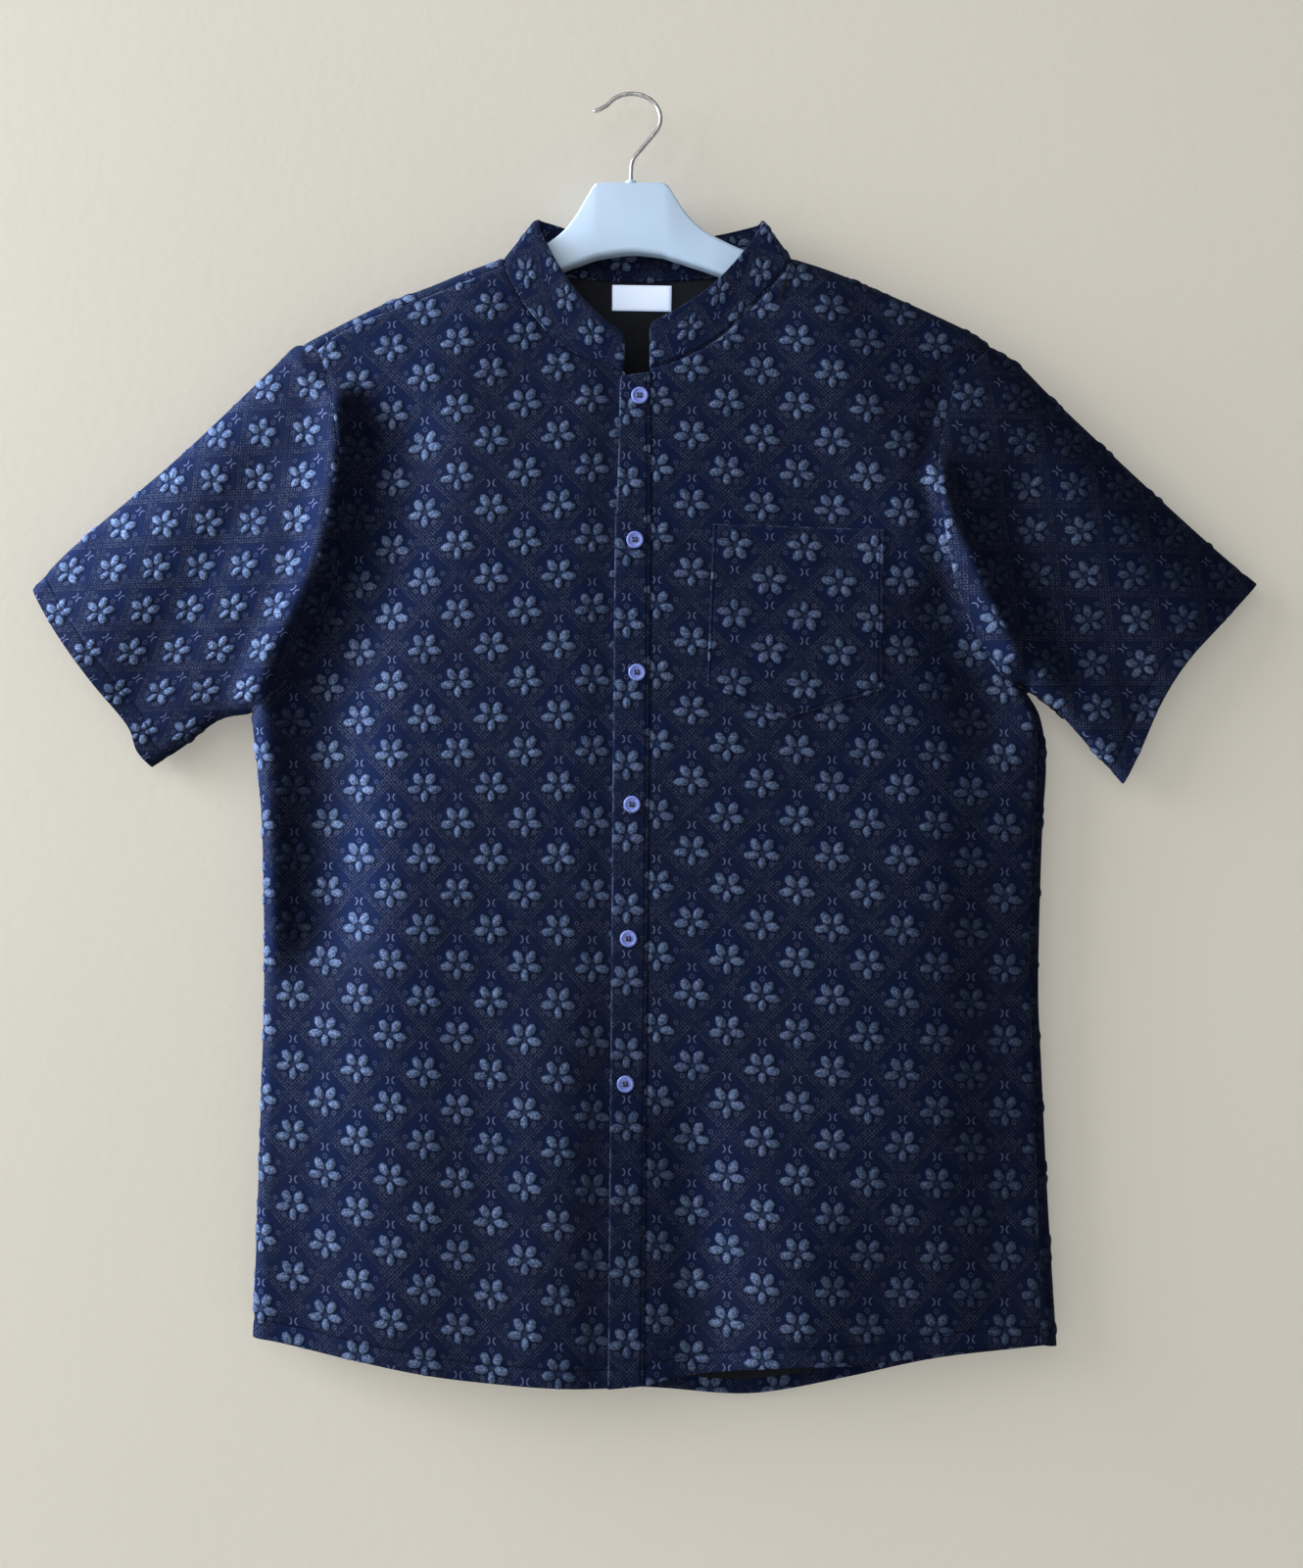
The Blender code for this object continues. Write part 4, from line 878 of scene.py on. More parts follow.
def shell(name, patches, wall, finishes, outer=0.0):
    """A closed cloth wall over welded grids.

    The outer side is every grid point moved out by its lift; the inner side is every
    third point moved in by the wall; open borders are joined by narrow faces.
    """
    base = np.vstack([p.base.reshape(-1, 3) for p in patches])
    _, first, back = np.unique(base.round(4), axis=0, return_index=True,
                               return_inverse=True)
    base, back = base[first], back.reshape(-1)
    each = [p.lift.size for p in patches]
    lift, turned, pile_side_light, lay, seam = (
        np.concatenate([getattr(p, field).reshape(size, *ends)
                        for p, size in zip(patches, each)])[first]
        for field, ends in (("lift", ()), ("turned", ()), ("pile_side_light", ()), ("lay", (2,)),
                            ("seam", (2,))))
    lift = lift + outer
    grids = [back[start:start + p.lift.size].reshape(p.lift.shape)
             for p, start in zip(patches, np.cumsum([0] + each))]
    faces = np.vstack([quads(g) for g in grids])
    normal = np.cross(base[faces[:, 2]] - base[faces[:, 0]],
                      base[faces[:, 3]] - base[faces[:, 1]])
    summed = np.column_stack([sum(np.bincount(faces[:, k], normal[:, c], len(base))
                                  for k in range(4)) for c in range(3)])
    summed /= np.maximum(np.linalg.norm(summed, axis=1), 1e-12)[:, None]
    inner = np.vstack([quads(g[::3, ::3]) for g in grids])
    used = np.unique(inner)
    number = np.full(len(base), -1)
    number[used] = len(base) + np.arange(len(used))
    rims = borders(grids, len(base))
    rims = np.column_stack([rims[:, ::-1], number[rims[:, 0]], number[rims[:, 3]]])
    inward = wall - outer + TURN_WALL * turned[used]
    points = np.vstack([base + summed * lift[:, None],
                        base[used] - summed[used] * inward[:, None]])
    hem = turned[inner].all(axis=1)
    sides = [tidy(faces), tidy(number[inner[~hem]][:, ::-1]),
             tidy(number[inner[hem]][:, ::-1]), rims.tolist()]
    which = np.repeat([0, len(finishes) - 1, 0, 0], [len(side) for side in sides])
    thing = add_mesh(name, points, sum(sides, []), finishes, which)
    add_map(thing, "lay", np.vstack([lay, lay[used]]))
    add_map(thing, "seam", np.vstack([seam, seam[used]]))
    # The tilt map: the unpuffed cloth's slope toward +X plus the pile's lean, from which the
    # finish paints shade and highlight
    tilt = np.column_stack([summed[:, 0] + pile_side_light, pile_side_light])
    add_map(thing, "tilt", np.vstack([tilt, tilt[used]]))
    return thing


def add_mesh(name, points, faces, finishes, which=None):
    mesh = bpy.data.meshes.new(name)
    mesh.from_pydata(np.asarray(points) * 0.001, [], faces)
    for finish in finishes:
        mesh.materials.append(finish)
    if which is not None:
        mesh.polygons.foreach_set("material_index", which.astype(np.int32))
    mesh.shade_smooth()
    mesh.update()
    thing = bpy.data.objects.new(name, mesh)
    bpy.context.scene.collection.objects.link(thing)
    return thing


def add_map(thing, name, values):
    """A UV map from one pair of numbers at each mesh point."""
    mesh = thing.data
    corner = np.empty(len(mesh.loops), np.int32)
    mesh.loops.foreach_get("vertex_index", corner)
    mesh.uv_layers.new(name=name).data.foreach_set("uv", values[corner].ravel())


def own(thing, slot, *nodes):
    """The piece rides on the one body and stands for nodes, whose parts are hidden; its slot is
    not used.
    """
    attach(thing, "root")
    if nodes:
        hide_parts(*nodes)


# The shirt's pieces

CLOTH, WRONG = cloth_finish("cloth_jacquard"), inside_finish()
NAVY_THREAD = thread_finish("button_thread", (0.010, 0.013, 0.035))

LINE = {name: rounded(table) for name, table in OUTLINE.items()}
LINE.update({fold.name: fold.line for fold in FOLDS})
FOOT = [(row[1], row[2]) for row in COLLAR]
NECK_WEST, NECK_TURN = rounded(FOOT[:6]), rounded(FOOT[5:7])
NECK_BACK, NECK_EAST = rounded(FOOT[6:13]), rounded(FOOT[12:])
BAND_AREA = np.vstack([LINE["band_west"], LINE["band_east"][::-1]])
POCKET_AREA = np.array(POCKET, float)
FRONT, BACK = -SEAM_GAP / 2, SEAM_GAP / 2


def make_right_front():
    """The wearer's right front, from the button band's far edge to the side fold."""
    crest = np.array(BAND_CREST[::-1] + BAND_TOP[:1], float)
    arm = LINE["arm_front_west"][12:]
    top = joined(crest, NECK_WEST, LINE["shoulder_seam"])
    low = LINE["hem_west"][::-1]
    end = joined(arm, LINE["side_west"])
    across = shares(length_of(low), CLOTH_STEP, SEWN_STOPS, FOLD_STOPS)
    down = shares(length_of(end), CLOTH_STEP, SEWN_STOPS, SEWN_STOPS)
    flat = spread(at_share(top, across), at_share(low, across),
                  at_share(LINE["band_east"], down), at_share(end, down))
    band_x, band_z = np.array(OUTLINE["band_west"]).T
    band = np.interp(-flat[..., 1], -band_z, band_x)
    sink = UNDERLAP_SINK * ease((flat[..., 0] - band + UNDERLAP_RUN) / (UNDERLAP_RUN - 2.0))
    patch = Patch(flat, "front", "front_west", FRONT + sink, BAND_AREA)
    patch.dip(arm, NECK_WEST, LINE["shoulder_seam"]).hemmed(LINE["hem_west"])
    patch.edge_highlight(LINE["shoulder_seam"])
    return shell("shirt_front_right", [patch], WALL, [CLOTH, WRONG])


def make_left_front():
    """The wearer's left front, from the button band to the side seam."""
    top = joined(NECK_EAST[::-1], LINE["ridge_east"])
    low = LINE["hem_east"]
    end = joined(LINE["arm_front_east"], LINE["side_seam"])
    across = shares(length_of(low), CLOTH_STEP, SEWN_STOPS, SEWN_STOPS)
    down = shares(length_of(end), CLOTH_STEP, FOLD_STOPS, SEWN_STOPS)
    flat = spread(at_share(top, across), at_share(low, across),
                  at_share(LINE["band_east"], down), at_share(end, down))
    patch = Patch(flat, "front", "front_east", FRONT, POCKET_AREA)
    patch.dip(LINE["arm_front_east"], NECK_EAST, LINE["side_seam"], LINE["band_east"])
    patch.hemmed(LINE["hem_east"]).edge_highlight(NECK_EAST, LINE["side_seam"])
    return shell("shirt_front_left", [patch], WALL, [CLOTH, WRONG])


def make_back():
    """The back, with its narrow turns over one shoulder and round one side."""
    step = CLOTH_STEP * 1.5
    ridge_w, ridge_e = LINE["ridge_west"][::-1], LINE["ridge_east"]
    parts = [(ridge_w, shares(length_of(ridge_w), step, SEWN_STOPS)),
             (NECK_BACK, shares(length_of(NECK_BACK), step)),
             (ridge_e, shares(length_of(ridge_e), step, PLAIN_STOPS, SEWN_STOPS))]
    top = joined(*[at_share(line, share) for line, share in parts])
    across = run_of(top) / length_of(top)
    across[-len(FOLD_STOPS):] = 1.0 - (FOLD_STOPS / length_of(top))[::-1]
    across[:len(FOLD_STOPS)] = FOLD_STOPS / length_of(top)
    rows = [shares(length_of(LINE["arm_back_west"]), step, FOLD_STOPS, SEWN_STOPS),
            shares(length_of(LINE["side_west"]), step, PLAIN_STOPS, SEWN_STOPS)]
    start = joined(at_share(LINE["arm_back_west"], rows[0]),
                   at_share(LINE["side_west"], rows[1]))
    end = joined(at_share(LINE["arm_back_east"], rows[0]),
                 at_share(LINE["side_east"], rows[1]))
    flat = spread(top, at_share(LINE["hem_back"], across), start, end)
    main = Patch(flat, "back", "back", BACK)
    neck, armpit = len(parts[0][1]), len(rows[0]) - 1
    few = shares(8.0, 1.3, FOLD_STOPS[:5])
    ridge = top[:neck][::-1]
    seam = at_share(LINE["shoulder_seam"], run_of(ridge) / length_of(ridge))
    over = spread(ridge, seam, at_share(NECK_TURN[::-1], few),
                  at_share(LINE["arm_front_west"][:13], few))
    side = end[armpit:]
    seam = at_share(LINE["side_seam"], run_of(side) / length_of(side))
    turned = spread(np.repeat(side[:1], len(few), 0),
                    at_share(np.array(HEM_TURN_EAST, float), 1.0 - few[::-1]), seam, side)
    yoke, turn = (Patch(grid, "front", "back", BACK) for grid in (over, turned))
    main.dip(LINE["arm_back_west"], LINE["arm_back_east"], NECK_BACK)
    main.hemmed(LINE["hem_back"])
    yoke.dip(LINE["shoulder_seam"])
    turn.dip(LINE["side_seam"])
    return shell("shirt_back", [main, yoke, turn], WALL, [CLOTH, WRONG])


def make_sleeve(name, side, lay):
    """A tube folded over its top and under the arm: a front and a back grid, welded."""
    top, under = LINE["sleeve_top_" + side], LINE["underarm_" + side]
    cuff = LINE["cuff_" + side]
    columns = shares(length_of(top), CLOTH_STEP, SEWN_STOPS, SEWN_STOPS)
    rows = shares(length_of(cuff) * 1.4, CLOTH_STEP * 1.1, FOLD_STOPS, FOLD_STOPS)
    halves = []
    for skin in ("front", "back"):
        arm = LINE["arm_%s_%s" % (skin, side)]
        flat = spread(at_share(top, columns), at_share(under, columns),
                      at_share(arm, rows), at_share(cuff, rows))
        points = flat.reshape(-1, 2)
        near = np.minimum(line_distance(points, top), line_distance(points, under))
        shift = np.minimum(near / 25.0, 1.0).reshape(flat.shape[:2]) * SEAM_GAP / 2
        half = Patch(flat, skin, lay, shift * (-1.0 if skin == "front" else 1.0))
        halves.append(half.dip(arm, depth=0.5).hemmed(cuff).edge_highlight(arm))
    return shell(name, halves, WALL, [CLOTH, WRONG])


def make_band():
    """The folded button band, its free edge and crest rounded."""
    west, east, crest = LINE["band_west"], LINE["band_east"], np.array(BAND_CREST, float)
    hem = np.array(HEM_BAND, float)
    across = shares(length_of(hem), 1.5, SEWN_STOPS[:3], SEWN_STOPS[:3])
    down = shares(length_of(west), 1.7, SEWN_STOPS, PLAIN_STOPS)
    flat = spread(at_share(crest, across), at_share(hem, across), at_share(west, down),
                  at_share(east, down))
    patch = Patch(flat, "front", "band", FRONT)
    patch.round_off(west, crest).dip(east, depth=0.45).stitched(east, inset=2.2)
    patch.edge_highlight(west, crest)
    return shell("button_band", [patch], BAND_WALL, [CLOTH], BAND_LIFT)


def make_pocket():
    """The chest pocket: straight sides and a pointed base, its edges turned under."""
    a, b, c, d, e = [np.array(corner, float) for corner in POCKET]
    top, low = np.array([a, b]), np.array([e, d, c])
    across = shares(length_of(top), CLOTH_STEP, SEWN_STOPS[:4], SEWN_STOPS[:4])
    down = shares(110.0, CLOTH_STEP, SEWN_STOPS[:4], SEWN_STOPS[:4])
    flat = spread(at_share(top, across), at_share(low, across),
                  at_share(np.array([a, e]), down), at_share(np.array([b, c]), down))
    patch = Patch(flat, "front", "pocket", FRONT)
    edge = np.array([a, e, d, c, b])
    patch.round_off(edge, top).stitched(edge, inset=2.4).edge_highlight(edge[2:], top)
    return shell("chest_pocket_piece", [patch], POCKET_WALL, [CLOTH], LIE_GAP + POCKET_WALL)


def make_label():
    """A bare strip of tape on the back's inner side, below the neck seam."""
    a, b, c, d = [np.array(corner, float) for corner in LABEL]
    across, down = np.linspace(0, 1, 22), np.linspace(0, 1, 13)
    flat = spread(at_share(np.array([a, b]), across), at_share(np.array([d, c]), across),
                  at_share(np.array([a, d]), down), at_share(np.array([b, c]), down))
    patch = Patch(flat, "back", "back", BACK - WALL - LIE_GAP - LABEL_WALL)
    patch.lift[:] = 0.25 * np.sin(np.linspace(0, 3.0, 13))[:, None]
    patch.base = patch.base[:, ::-1]
    patch.round_off(np.array([a, b, c, d, a]), radius=0.8, drop=0.4)
    return shell("neck_label_piece", [patch], LABEL_WALL - 0.3, [label_finish()])


def section():
    """Round the collar's wall: share of the height, part of the cap, and way out.

    Steps lead up the outer face, over the half round rim and down the inner face.
    """
    half, wall, bend = COLLAR_WALL / 2, np.linspace(0.0, 1.0, 22), np.radians(
        np.linspace(20.0, 160.0, 7))
    up = np.concatenate([wall, np.ones(7), wall[::-1]])
    cap = np.concatenate([0 * wall, np.sin(bend), 0 * wall])
    out = np.concatenate([0 * wall, np.cos(bend) * half - half, 0 * wall - COLLAR_WALL])
    return up, cap, out, np.repeat([1.0, 0.0, -1.0], [22, 7, 22])


def make_collar():
    """The standing band: a rounded section carried round the neck.

    The section runs up the outer face, over the rim and down the inner face. The run
    turns evenly by 62 degrees from end to end in the cloth, as a curved cut does.
    """
    table = np.array([row[1:] for row in COLLAR], float)
    fine = 14
    path = rounded(table, fine)
    feet, rims = path[:, :2], path[:, 2:]
    skins = np.array([0.0 if row[0] == "front" else 1.0 if row[0] == "back" else 0.5
                      for row in COLLAR])
    share = np.interp(np.arange(len(path)) / fine, np.arange(len(skins)), skins)
    front, back = skin_y(feet, "front") + FRONT, skin_y(feet, "back") + BACK
    foot = np.column_stack([feet[:, 0], front * (1 - share) + back * share, feet[:, 1]])
    up = rims - foot
    height = np.linalg.norm(up, axis=1)
    up /= height[:, None]
    along = np.gradient(foot, axis=0)
    out = np.cross(up, along)
    out /= np.linalg.norm(out, axis=1)[:, None]
    for _ in range(fine):
        out[1:-1] = out[:-2] + 2.0 * out[1:-1] + out[2:]
        out /= np.linalg.norm(out, axis=1)[:, None]
    if out[0, 1] > 0:
        out = -out
    run = run_of(foot)
    to_end = np.minimum(run, run[-1] - run)
    near = 1.0 - np.minimum(to_end / COLLAR_END, 1.0)
    height = height - COLLAR_END * (1.0 - np.sqrt(1.0 - near ** 2))
    half = COLLAR_WALL / 2
    # The foot stands on the fronts and reaches down over the back's upper edge
    face = 0.3 - 1.1 * share[:, None]
    section_up, cap, section_out, sign = section()
    tall = face + (height[:, None] - half - face) * section_up + half * cap
    seamed = tall + 1.6 * share[:, None]
    run_angle = np.radians(np.interp(run, [0.0, run[-1]], [-COLLAR_TURN, COLLAR_TURN]))
    steps = np.diff(run, prepend=0.0)
    cx, cy = np.cumsum(np.cos(run_angle) * steps), np.cumsum(np.sin(run_angle) * steps)
    lay = np.stack([cx[:, None] + np.sin(run_angle)[:, None] * tall * 1.2 + COLLAR_START[0],
                    cy[:, None] - np.cos(run_angle)[:, None] * tall * 1.2 + COLLAR_START[1]],
                   axis=-1) / REPEAT
    raised = 0.8 * PUFF * puff(*cell(lay[..., 0], lay[..., 1])[:2])
    raised *= ease(tall / 3.0) * ease(to_end / 3.0)[:, None]
    groove = -0.6 * np.exp(-(tall / 1.6) ** 2) * (sign > 0)
    shift = section_out + raised * sign + groove
    points = foot[:, None] + up[:, None] * tall[..., None] + out[:, None] * shift[..., None]
    count, around = points.shape[:2]
    index = np.arange(count * around).reshape(count, around)
    index = np.column_stack([index, index[:, :1]])
    faces = np.stack([index[:-1, :-1], index[:-1, 1:], index[1:, 1:], index[1:, :-1]],
                     axis=-1).reshape(-1, 4)
    ends = [index[0, :-1][::-1].tolist(), index[-1, :-1].tolist()]
    thing = add_mesh("standing_collar", points.reshape(-1, 3), faces.tolist() + ends, [CLOTH])
    add_map(thing, "lay", lay.reshape(-1, 2))
    edge = np.minimum(np.abs(tall - 1.8), np.abs(height[:, None] - tall - 2.0))
    # Distance to the top rim, the foot's seam and the ends, for the painted edge highlight
    edge_highlight = np.minimum(height[:, None] - tall, np.minimum(seamed, to_end[:, None])) + 0.2
    add_map(thing, "seam", np.stack([edge_highlight, edge], axis=-1).reshape(-1, 2) * 0.001)
    add_map(thing, "tilt", np.zeros((edge_highlight.size, 2)))
    return thing


def facing_out(thing):
    """Turn a mesh right side out if its volume comes out negative."""
    mesh = bmesh.new()
    mesh.from_mesh(thing.data)
    if mesh.calc_volume(signed=True) < 0:
        bmesh.ops.reverse_faces(mesh, faces=mesh.faces)
        mesh.to_mesh(thing.data)
    mesh.free()
    return thing


def tube_faces(rows, sides):
    """Faces of a tube of points, ring after ring, and of both its ends."""
    index = np.arange(rows * sides).reshape(rows, sides)
    index = np.column_stack([index, index[:, :1]])
    return quads(index).tolist() + [index[0, :-1].tolist(), index[-1, :-1][::-1].tolist()]


def tube(name, path, radius, finishes, sides):
    """A round tube carried along a path, its ends closed and rounded in."""
    path = np.asarray(path, float)
    tangent = np.gradient(path, axis=0)
    tangent /= np.linalg.norm(tangent, axis=1)[:, None]
    hint = np.array([0.0, 1.0, 0.0]) if abs(tangent[:, 1]).max() < 0.9 else np.array(
        [1.0, 0.0, 0.0])
    side = np.cross(tangent, hint)
    side /= np.linalg.norm(side, axis=1)[:, None]
    other = np.cross(tangent, side)
    angle = np.linspace(0.0, 2 * math.pi, sides, endpoint=False)
    radius = np.broadcast_to(radius, (len(path),))[:, None, None]
    circle = side[:, None] * np.cos(angle)[:, None] + other[:, None] * np.sin(angle)[:, None]
    points = (path[:, None] + circle * radius).reshape(-1, 3)
    return facing_out(add_mesh(name, points, tube_faces(len(path), sides), finishes))


def rotated(x, y, degrees):
    turn = math.radians(degrees)
    return (x * math.cos(turn) - y * math.sin(turn),
            x * math.sin(turn) + y * math.cos(turn))


def make_buttons():
    """Four-hole buttons: a turned profile on a polar grid, sunk where the holes are."""
    finish = button_finish()
    radii = np.concatenate([np.linspace(0.0, 3.2, 19), np.linspace(3.4, 5.7, 12)])
    profile_r = [0.0, 3.0, 3.9, 4.5, 5.2, 5.6, 5.7]
    profile_h = [1.55, 1.6, 1.85, 2.15, 2.05, 1.7, 1.1]
    angle = np.linspace(0.0, 2 * math.pi, 64, endpoint=False)
    r, turn = radii[:, None], angle[None]
    x, up = r * np.cos(turn), r * np.sin(turn)
    hole = np.sqrt((np.abs(x) - HOLE_AT) ** 2 + (np.abs(up) - HOLE_AT) ** 2)
    height = np.interp(r, profile_r, profile_h) - 1.2 * rise(hole, 0.85, 0.45)
    low_r = np.array([5.6, 5.0, 4.0, 0.0])[:, None]
    low_h = np.array([0.5, 0.12, 0.0, 0.0])[:, None] + 0 * turn
    x = np.vstack([x, low_r * np.cos(turn)])
    up = np.vstack([up, low_r * np.sin(turn)])
    height = np.vstack([height, low_h])
    # The thread: a bar down each pair of holes and one across below, as x, up and height
    s = np.array([-1.3, -1.0, -0.4, 0.3, 1.0, 1.25])
    h = np.array([0.75, 1.75, 1.98, 1.98, 1.75, 0.8])
    bars = [(0 * s - HOLE_AT, s, h), (0 * s + HOLE_AT, s, h)]
    s = np.array([-1.3, -0.8, 0.0, 0.8, 1.3])
    bars.append((s, 0 * s - 1.15, np.array([1.3, 1.8, 1.9, 1.8, 1.3])))
    for number, (bx, bz, tilt) in enumerate(BUTTONS, 1):
        at = np.array([(bx, bz)], float)
        y = skin_y(np.vstack([at, at + (0.2, 0), at + (0, 0.2)]), "front") + FRONT
        slope = (y[1:] - y[0]) / 0.2
        out = np.array([slope[0], -1.0, slope[1]])
        out /= np.linalg.norm(out)
        right = np.array([1.0, slope[0], 0.0])
        right /= np.linalg.norm(right)
        above = np.cross(right, out)
        above = above if above[2] > 0 else -above
        middle = np.array([bx, y[0], bz]) + out * (BAND_LIFT + LIE_GAP + 0.1)
        rx, ru = rotated(x, up, tilt)
        points = (middle + rx[..., None] * right + ru[..., None] * above
                  + height[..., None] * out)
        index = np.arange(x.size).reshape(x.shape)
        index[0] = index[0, 0]
        index[-1] = index[-1, 0]
        index = np.column_stack([index, index[:, :1]])
        keep = np.unique(index)
        renumber = np.full(x.size, 0)
        renumber[keep] = np.arange(len(keep))
        faces = tidy(renumber[quads(index)])
        disc = add_mesh("button_disc_%d" % number, points.reshape(-1, 3)[keep], faces,
                        [finish])
        own(facing_out(disc), "buttons", "button_%d" % number)
        for k, (px, pu, h) in enumerate(bars):
            qx, qu = rotated(px, pu, tilt)
            line = middle + qx[:, None] * right + qu[:, None] * above + h[:, None] * out
            bar = tube("button_thread_%d_%d" % (number, k), rounded(line, 3), 0.42,
                       [NAVY_THREAD], 8)
            own(bar, "cloth")


def make_hanger():
    """A rounded oblong section carried from arm to arm, smooth between its stations."""
    x, top, low, half = rounded(HANGER, 5).T
    corner = np.minimum(np.minimum(3.2, half * 0.8), (top - low) * 0.42)
    angle = np.radians(np.concatenate([np.linspace(a, a + 90.0, 7)
                                       for a in (0.0, 90.0, 180.0, 270.0)]))
    sy, sz = np.repeat([1.0, -1.0, -1.0, 1.0], 7), np.repeat([1.0, 1.0, -1.0, -1.0], 7)
    corner, half, top, low = (v[:, None] for v in (corner, half, top, low))
    y = sy * (half - corner) + corner * np.cos(angle)
    z = (top + low) / 2 + sz * ((top - low) / 2 - corner) + corner * np.sin(angle)
    points = np.stack([x[:, None] + 0 * y, y, z], axis=-1)
    body = facing_out(add_mesh("hanger_moulding", points.reshape(-1, 3),
                               tube_faces(*y.shape), [hanger_finish()]))
    sleeve_h = np.array([-62.5, -59.4, -58.2, -57.6, -57.4])
    path = np.column_stack([sleeve_h * 0 - 2.0, sleeve_h * 0, sleeve_h])
    boss = tube("hanger_boss", path, np.array([4.2, 4.0, 3.6, 2.8, 1.8]),
                list(body.data.materials), 32)
    own(body, "hanger", "hanger_body")
    own(boss, "hanger")


def make_hook():
    """3 mm wire: a flared tip, an oval turn over the peg and a neck into the hanger."""
    tip = [(-27.6, -10.4), (-23.4, -9.2)]
    bend = np.radians(np.linspace(146.0, -32.0, 18))
    turn = list(zip(-1.5 + 19.6 * np.cos(bend), -15.2 + 16.7 * np.sin(bend)))
    neck = [(9.9, -30.5), (4.6, -36.6), (0.2, -42.0), (-1.6, -47.2), (-2.0, -54.3),
            (-2.0, -60.0)]
    line = rounded(tip + turn + neck, 6)
    radius = np.full(len(line), 1.5)
    radius[:4] = [0.7, 1.2, 1.4, 1.5]
    path = np.column_stack([line[:, 0], line[:, 0] * 0, line[:, 1]])
    own(tube("hanger_hook_wire", path, radius, [hook_finish()], 20), "hook", "hanger_hook")


FLAT = [
    # piece, slot, node it stands for, width, length, area in m, what it rests on
    (make_right_front(), "cloth", "front_panel_right", 0.285, 0.768, 0.179,
     ["hanger_body", "shirt_back"]),
    (make_left_front(), "cloth", "front_panel_left", 0.292, 0.768, 0.180,
     ["hanger_body", "shirt_back"]),
    (make_back(), "cloth", "back_panel", 0.565, 0.785, 0.395, ["hanger_body"]),
    (make_sleeve("shirt_sleeve_right", "west", "sleeve_west"), "cloth", "sleeve_right",
     0.515, 0.262, 0.0725, ["hanger_body", "shirt_back"]),
    (make_sleeve("shirt_sleeve_left", "east", "sleeve_east"), "cloth", "sleeve_left",
     0.515, 0.262, 0.0725, ["hanger_body", "shirt_back"]),
    (make_band(), "cloth", "placket_band", 0.026, 0.682, 0.0165, ["shirt_front_left"]),
    (make_pocket(), "cloth", "chest_pocket", 0.116, 0.130, 0.0136, ["shirt_front_left"]),
    (make_label(), "label", "neck_label", 0.041, 0.018, 0.00073, ["shirt_back"]),
    (facing_out(make_collar()), "cloth", "collar_band", 0.450, 0.036, 0.0145,
     ["shirt_back", "shirt_front_left"]),
]
for thing, slot, node, *_ in FLAT:
    own(thing, slot, node)
# The label lies on the back's inner side; the loop below goes over the pieces, label last, and
# does nothing with them
for thing, _, _, width, length, area, on in sorted(FLAT, key=lambda row: row[1] == "label"):
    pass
make_buttons()
make_hanger()
make_hook()


# Wall, floor, camera and light

def stage_finish(name, colour, grain):
    """Matt paint; seen from behind it is clear, so the shirt's back can be looked at."""
    made = Finish(name, {"Roughness": 0.85, "Specular IOR Level": 0.25,
                         "Emission Color": scaled(colour, 1.0 / max(colour)) + (1.0,),
                         "Emission Strength": 0.20})
    where = made.place()
    broad = made.noise(where, 2.2, 2.0, 0.5)
    fine = made.noise(where, grain, 3.0, 0.55)
    made.link("Base Color", made.mottle(broad, 0.3, 0.7, colour, scaled(colour, 0.965)))
    made.bump(fine * 0.9, 0.28)
    clear = made.node("ShaderNodeBsdfTransparent")
    behind = made.node("ShaderNodeNewGeometry").outputs["Backfacing"]
    both = made.node("ShaderNodeMixShader", None,
                     {0: behind, 1: made.shader.outputs[0], 2: clear.outputs[0]})
    output = next(n for n in made.tree.nodes if n.type == "OUTPUT_MATERIAL")
    made.tree.links.new(both.outputs[0], output.inputs["Surface"])
    return made.material


def plane(name, corners, finish):
    made = add_mesh(name, np.array(corners, float) * 1000.0, [[0, 1, 2, 3]], [finish])
    made.visible_shadow = False


plane("wall", [(-4, 0.021, -1.26), (4, 0.021, -1.26), (4, 0.021, 2.2), (-4, 0.021, 2.2)],
      stage_finish("wall_paint", (0.506, 0.491, 0.446), 130.0))
plane("floor", [(-4, -4, -1.26), (4, -4, -1.26), (4, 4, -1.26), (-4, 4, -1.26)],
      stage_finish("pale_floor", (0.46, 0.45, 0.42), 60.0))

PHOTO_TALL = 1600.0     # the photo's height and the eye's distance, in its pixels
EYE_FAR = 1875.0
SENSOR = 36.0

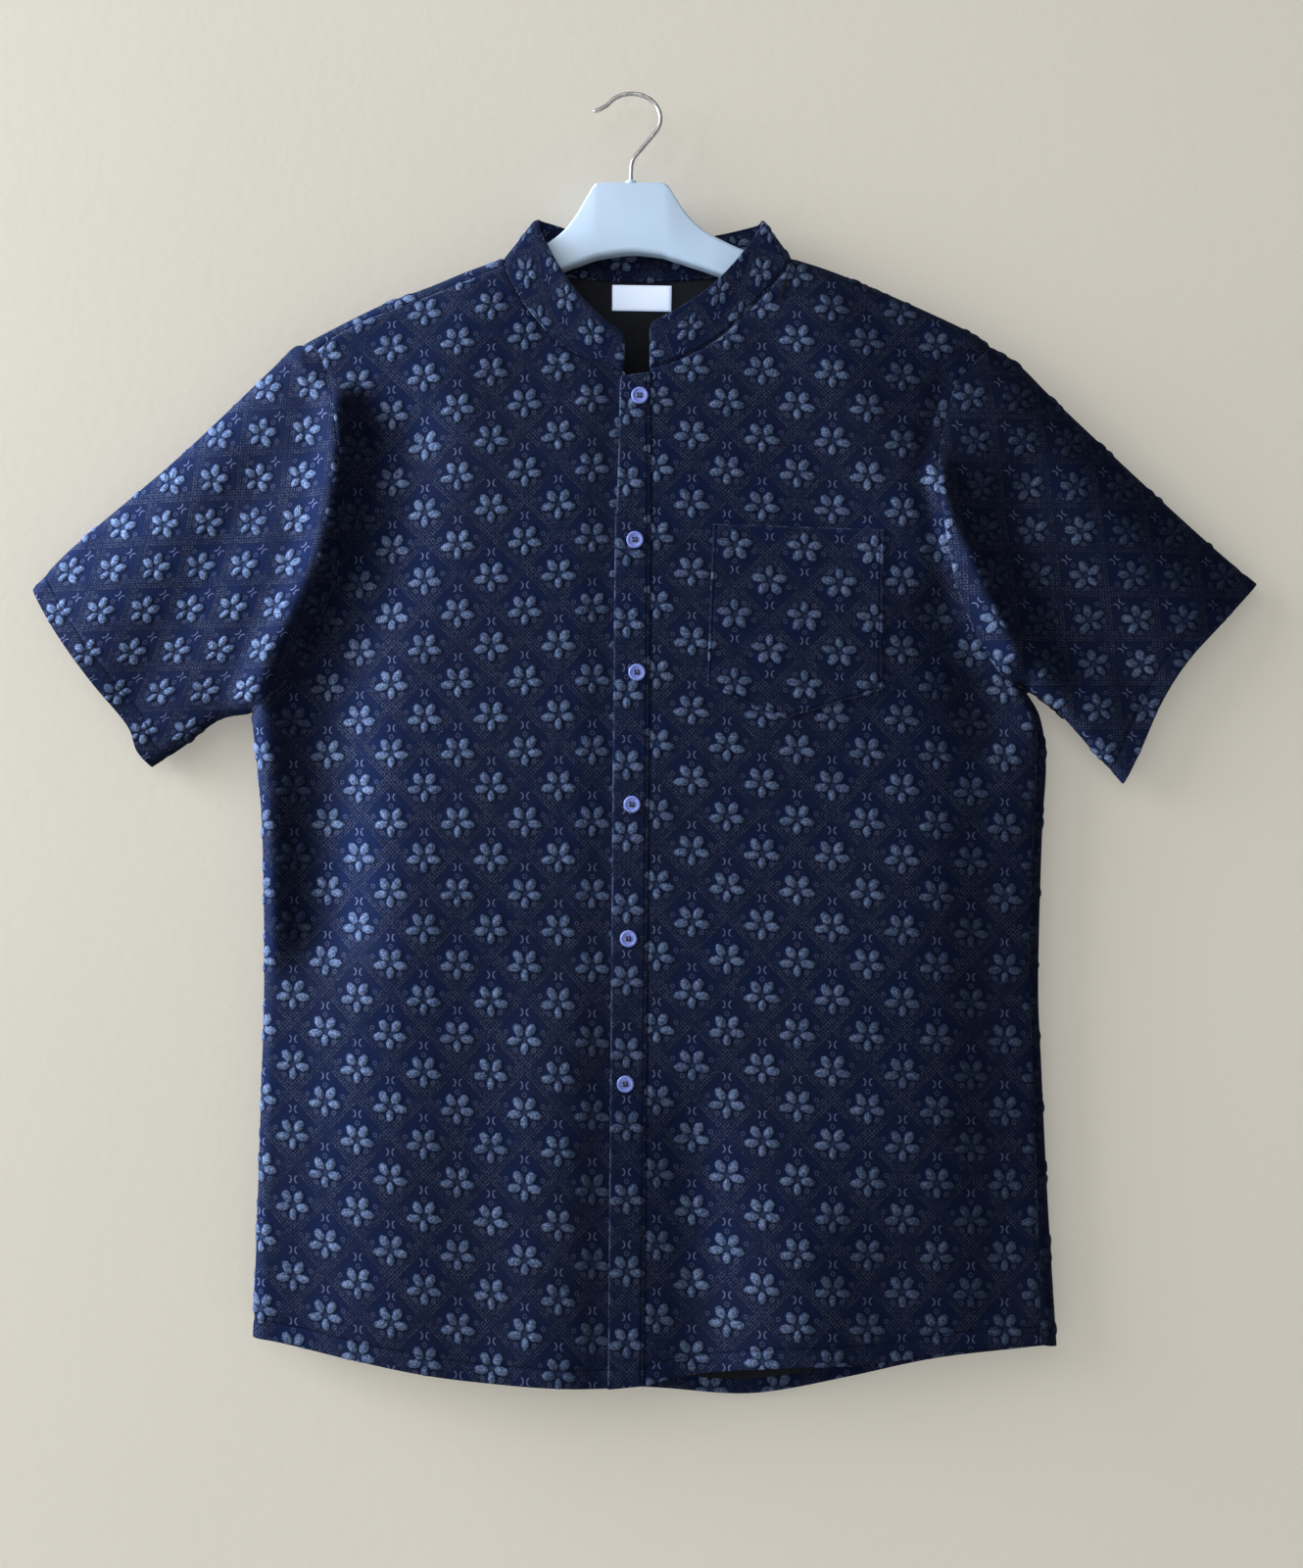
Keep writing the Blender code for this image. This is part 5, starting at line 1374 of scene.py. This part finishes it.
eye = bpy.data.cameras.new("camera")
eye.sensor_fit = "AUTO"
eye.sensor_width = SENSOR
eye.lens = EYE_FAR / PHOTO_TALL * SENSOR
camera = bpy.data.objects.new("camera", eye)
camera.location = (0.012, -1.250, -0.468)
camera.rotation_euler = (math.radians(90.0), 0.0, 0.0)
bpy.context.scene.collection.objects.link(camera)
bpy.context.scene.camera = camera


LAMPS = [
    # name, place, aimed at, size, watts, colour
    ("window_left", (-4.3, -1.5, 1.4), (0.0, 0.0, -0.45), (3.0, 3.0), 205.0,
     (1.0, 0.985, 0.965)),
    ("window_near", (-1.30, -0.20, -0.02), (-0.33, 0.0, -0.33), (0.5, 0.6), 8.0,
     (0.84, 0.93, 1.0)),
    ("window_graze", (-0.95, -0.15, -0.05), (-0.36, 0.0, -0.30), (0.3, 0.4), 11.0,
     (0.78, 0.90, 1.0)),
    ("room_front", (-0.9, -3.0, 1.2), (0.0, 0.0, -0.45), (2.6, 2.2), 28.0,
     (1.0, 0.975, 0.94)),
    ("back_fill", (0.3, 2.6, 0.6), (0.0, 0.0, -0.45), (2.0, 2.0), 40.0,
     (1.0, 0.98, 0.96)),
]
garment = bpy.data.collections.new("garment")
for thing in bpy.context.scene.objects:
    if thing.type == "MESH" and thing.name not in ("wall", "floor"):
        garment.objects.link(thing)
for name, place, target, size, watts, colour in LAMPS:
    light = bpy.data.lights.new(name, "AREA")
    light.shape, light.size, light.size_y = "RECTANGLE", *size
    light.energy, light.color = watts, colour
    thing = bpy.data.objects.new(name, light)
    thing.location = place
    thing.rotation_euler = (Vector(target) - Vector(place)).to_track_quat("-Z", "Y").to_euler()
    bpy.context.scene.collection.objects.link(thing)
    if name == "window_graze":
        # It lights the cloth from the side and leaves the wall as it is
        thing.light_linking.receiver_collection = garment
world = bpy.data.worlds.new("world")
world.use_nodes = True
world.node_tree.nodes["Background"].inputs[0].default_value = (1.0, 0.985, 0.96, 1.0)
world.node_tree.nodes["Background"].inputs[1].default_value = 0.25
bpy.context.scene.world = world
bpy.context.scene.view_settings.view_transform = "Standard"
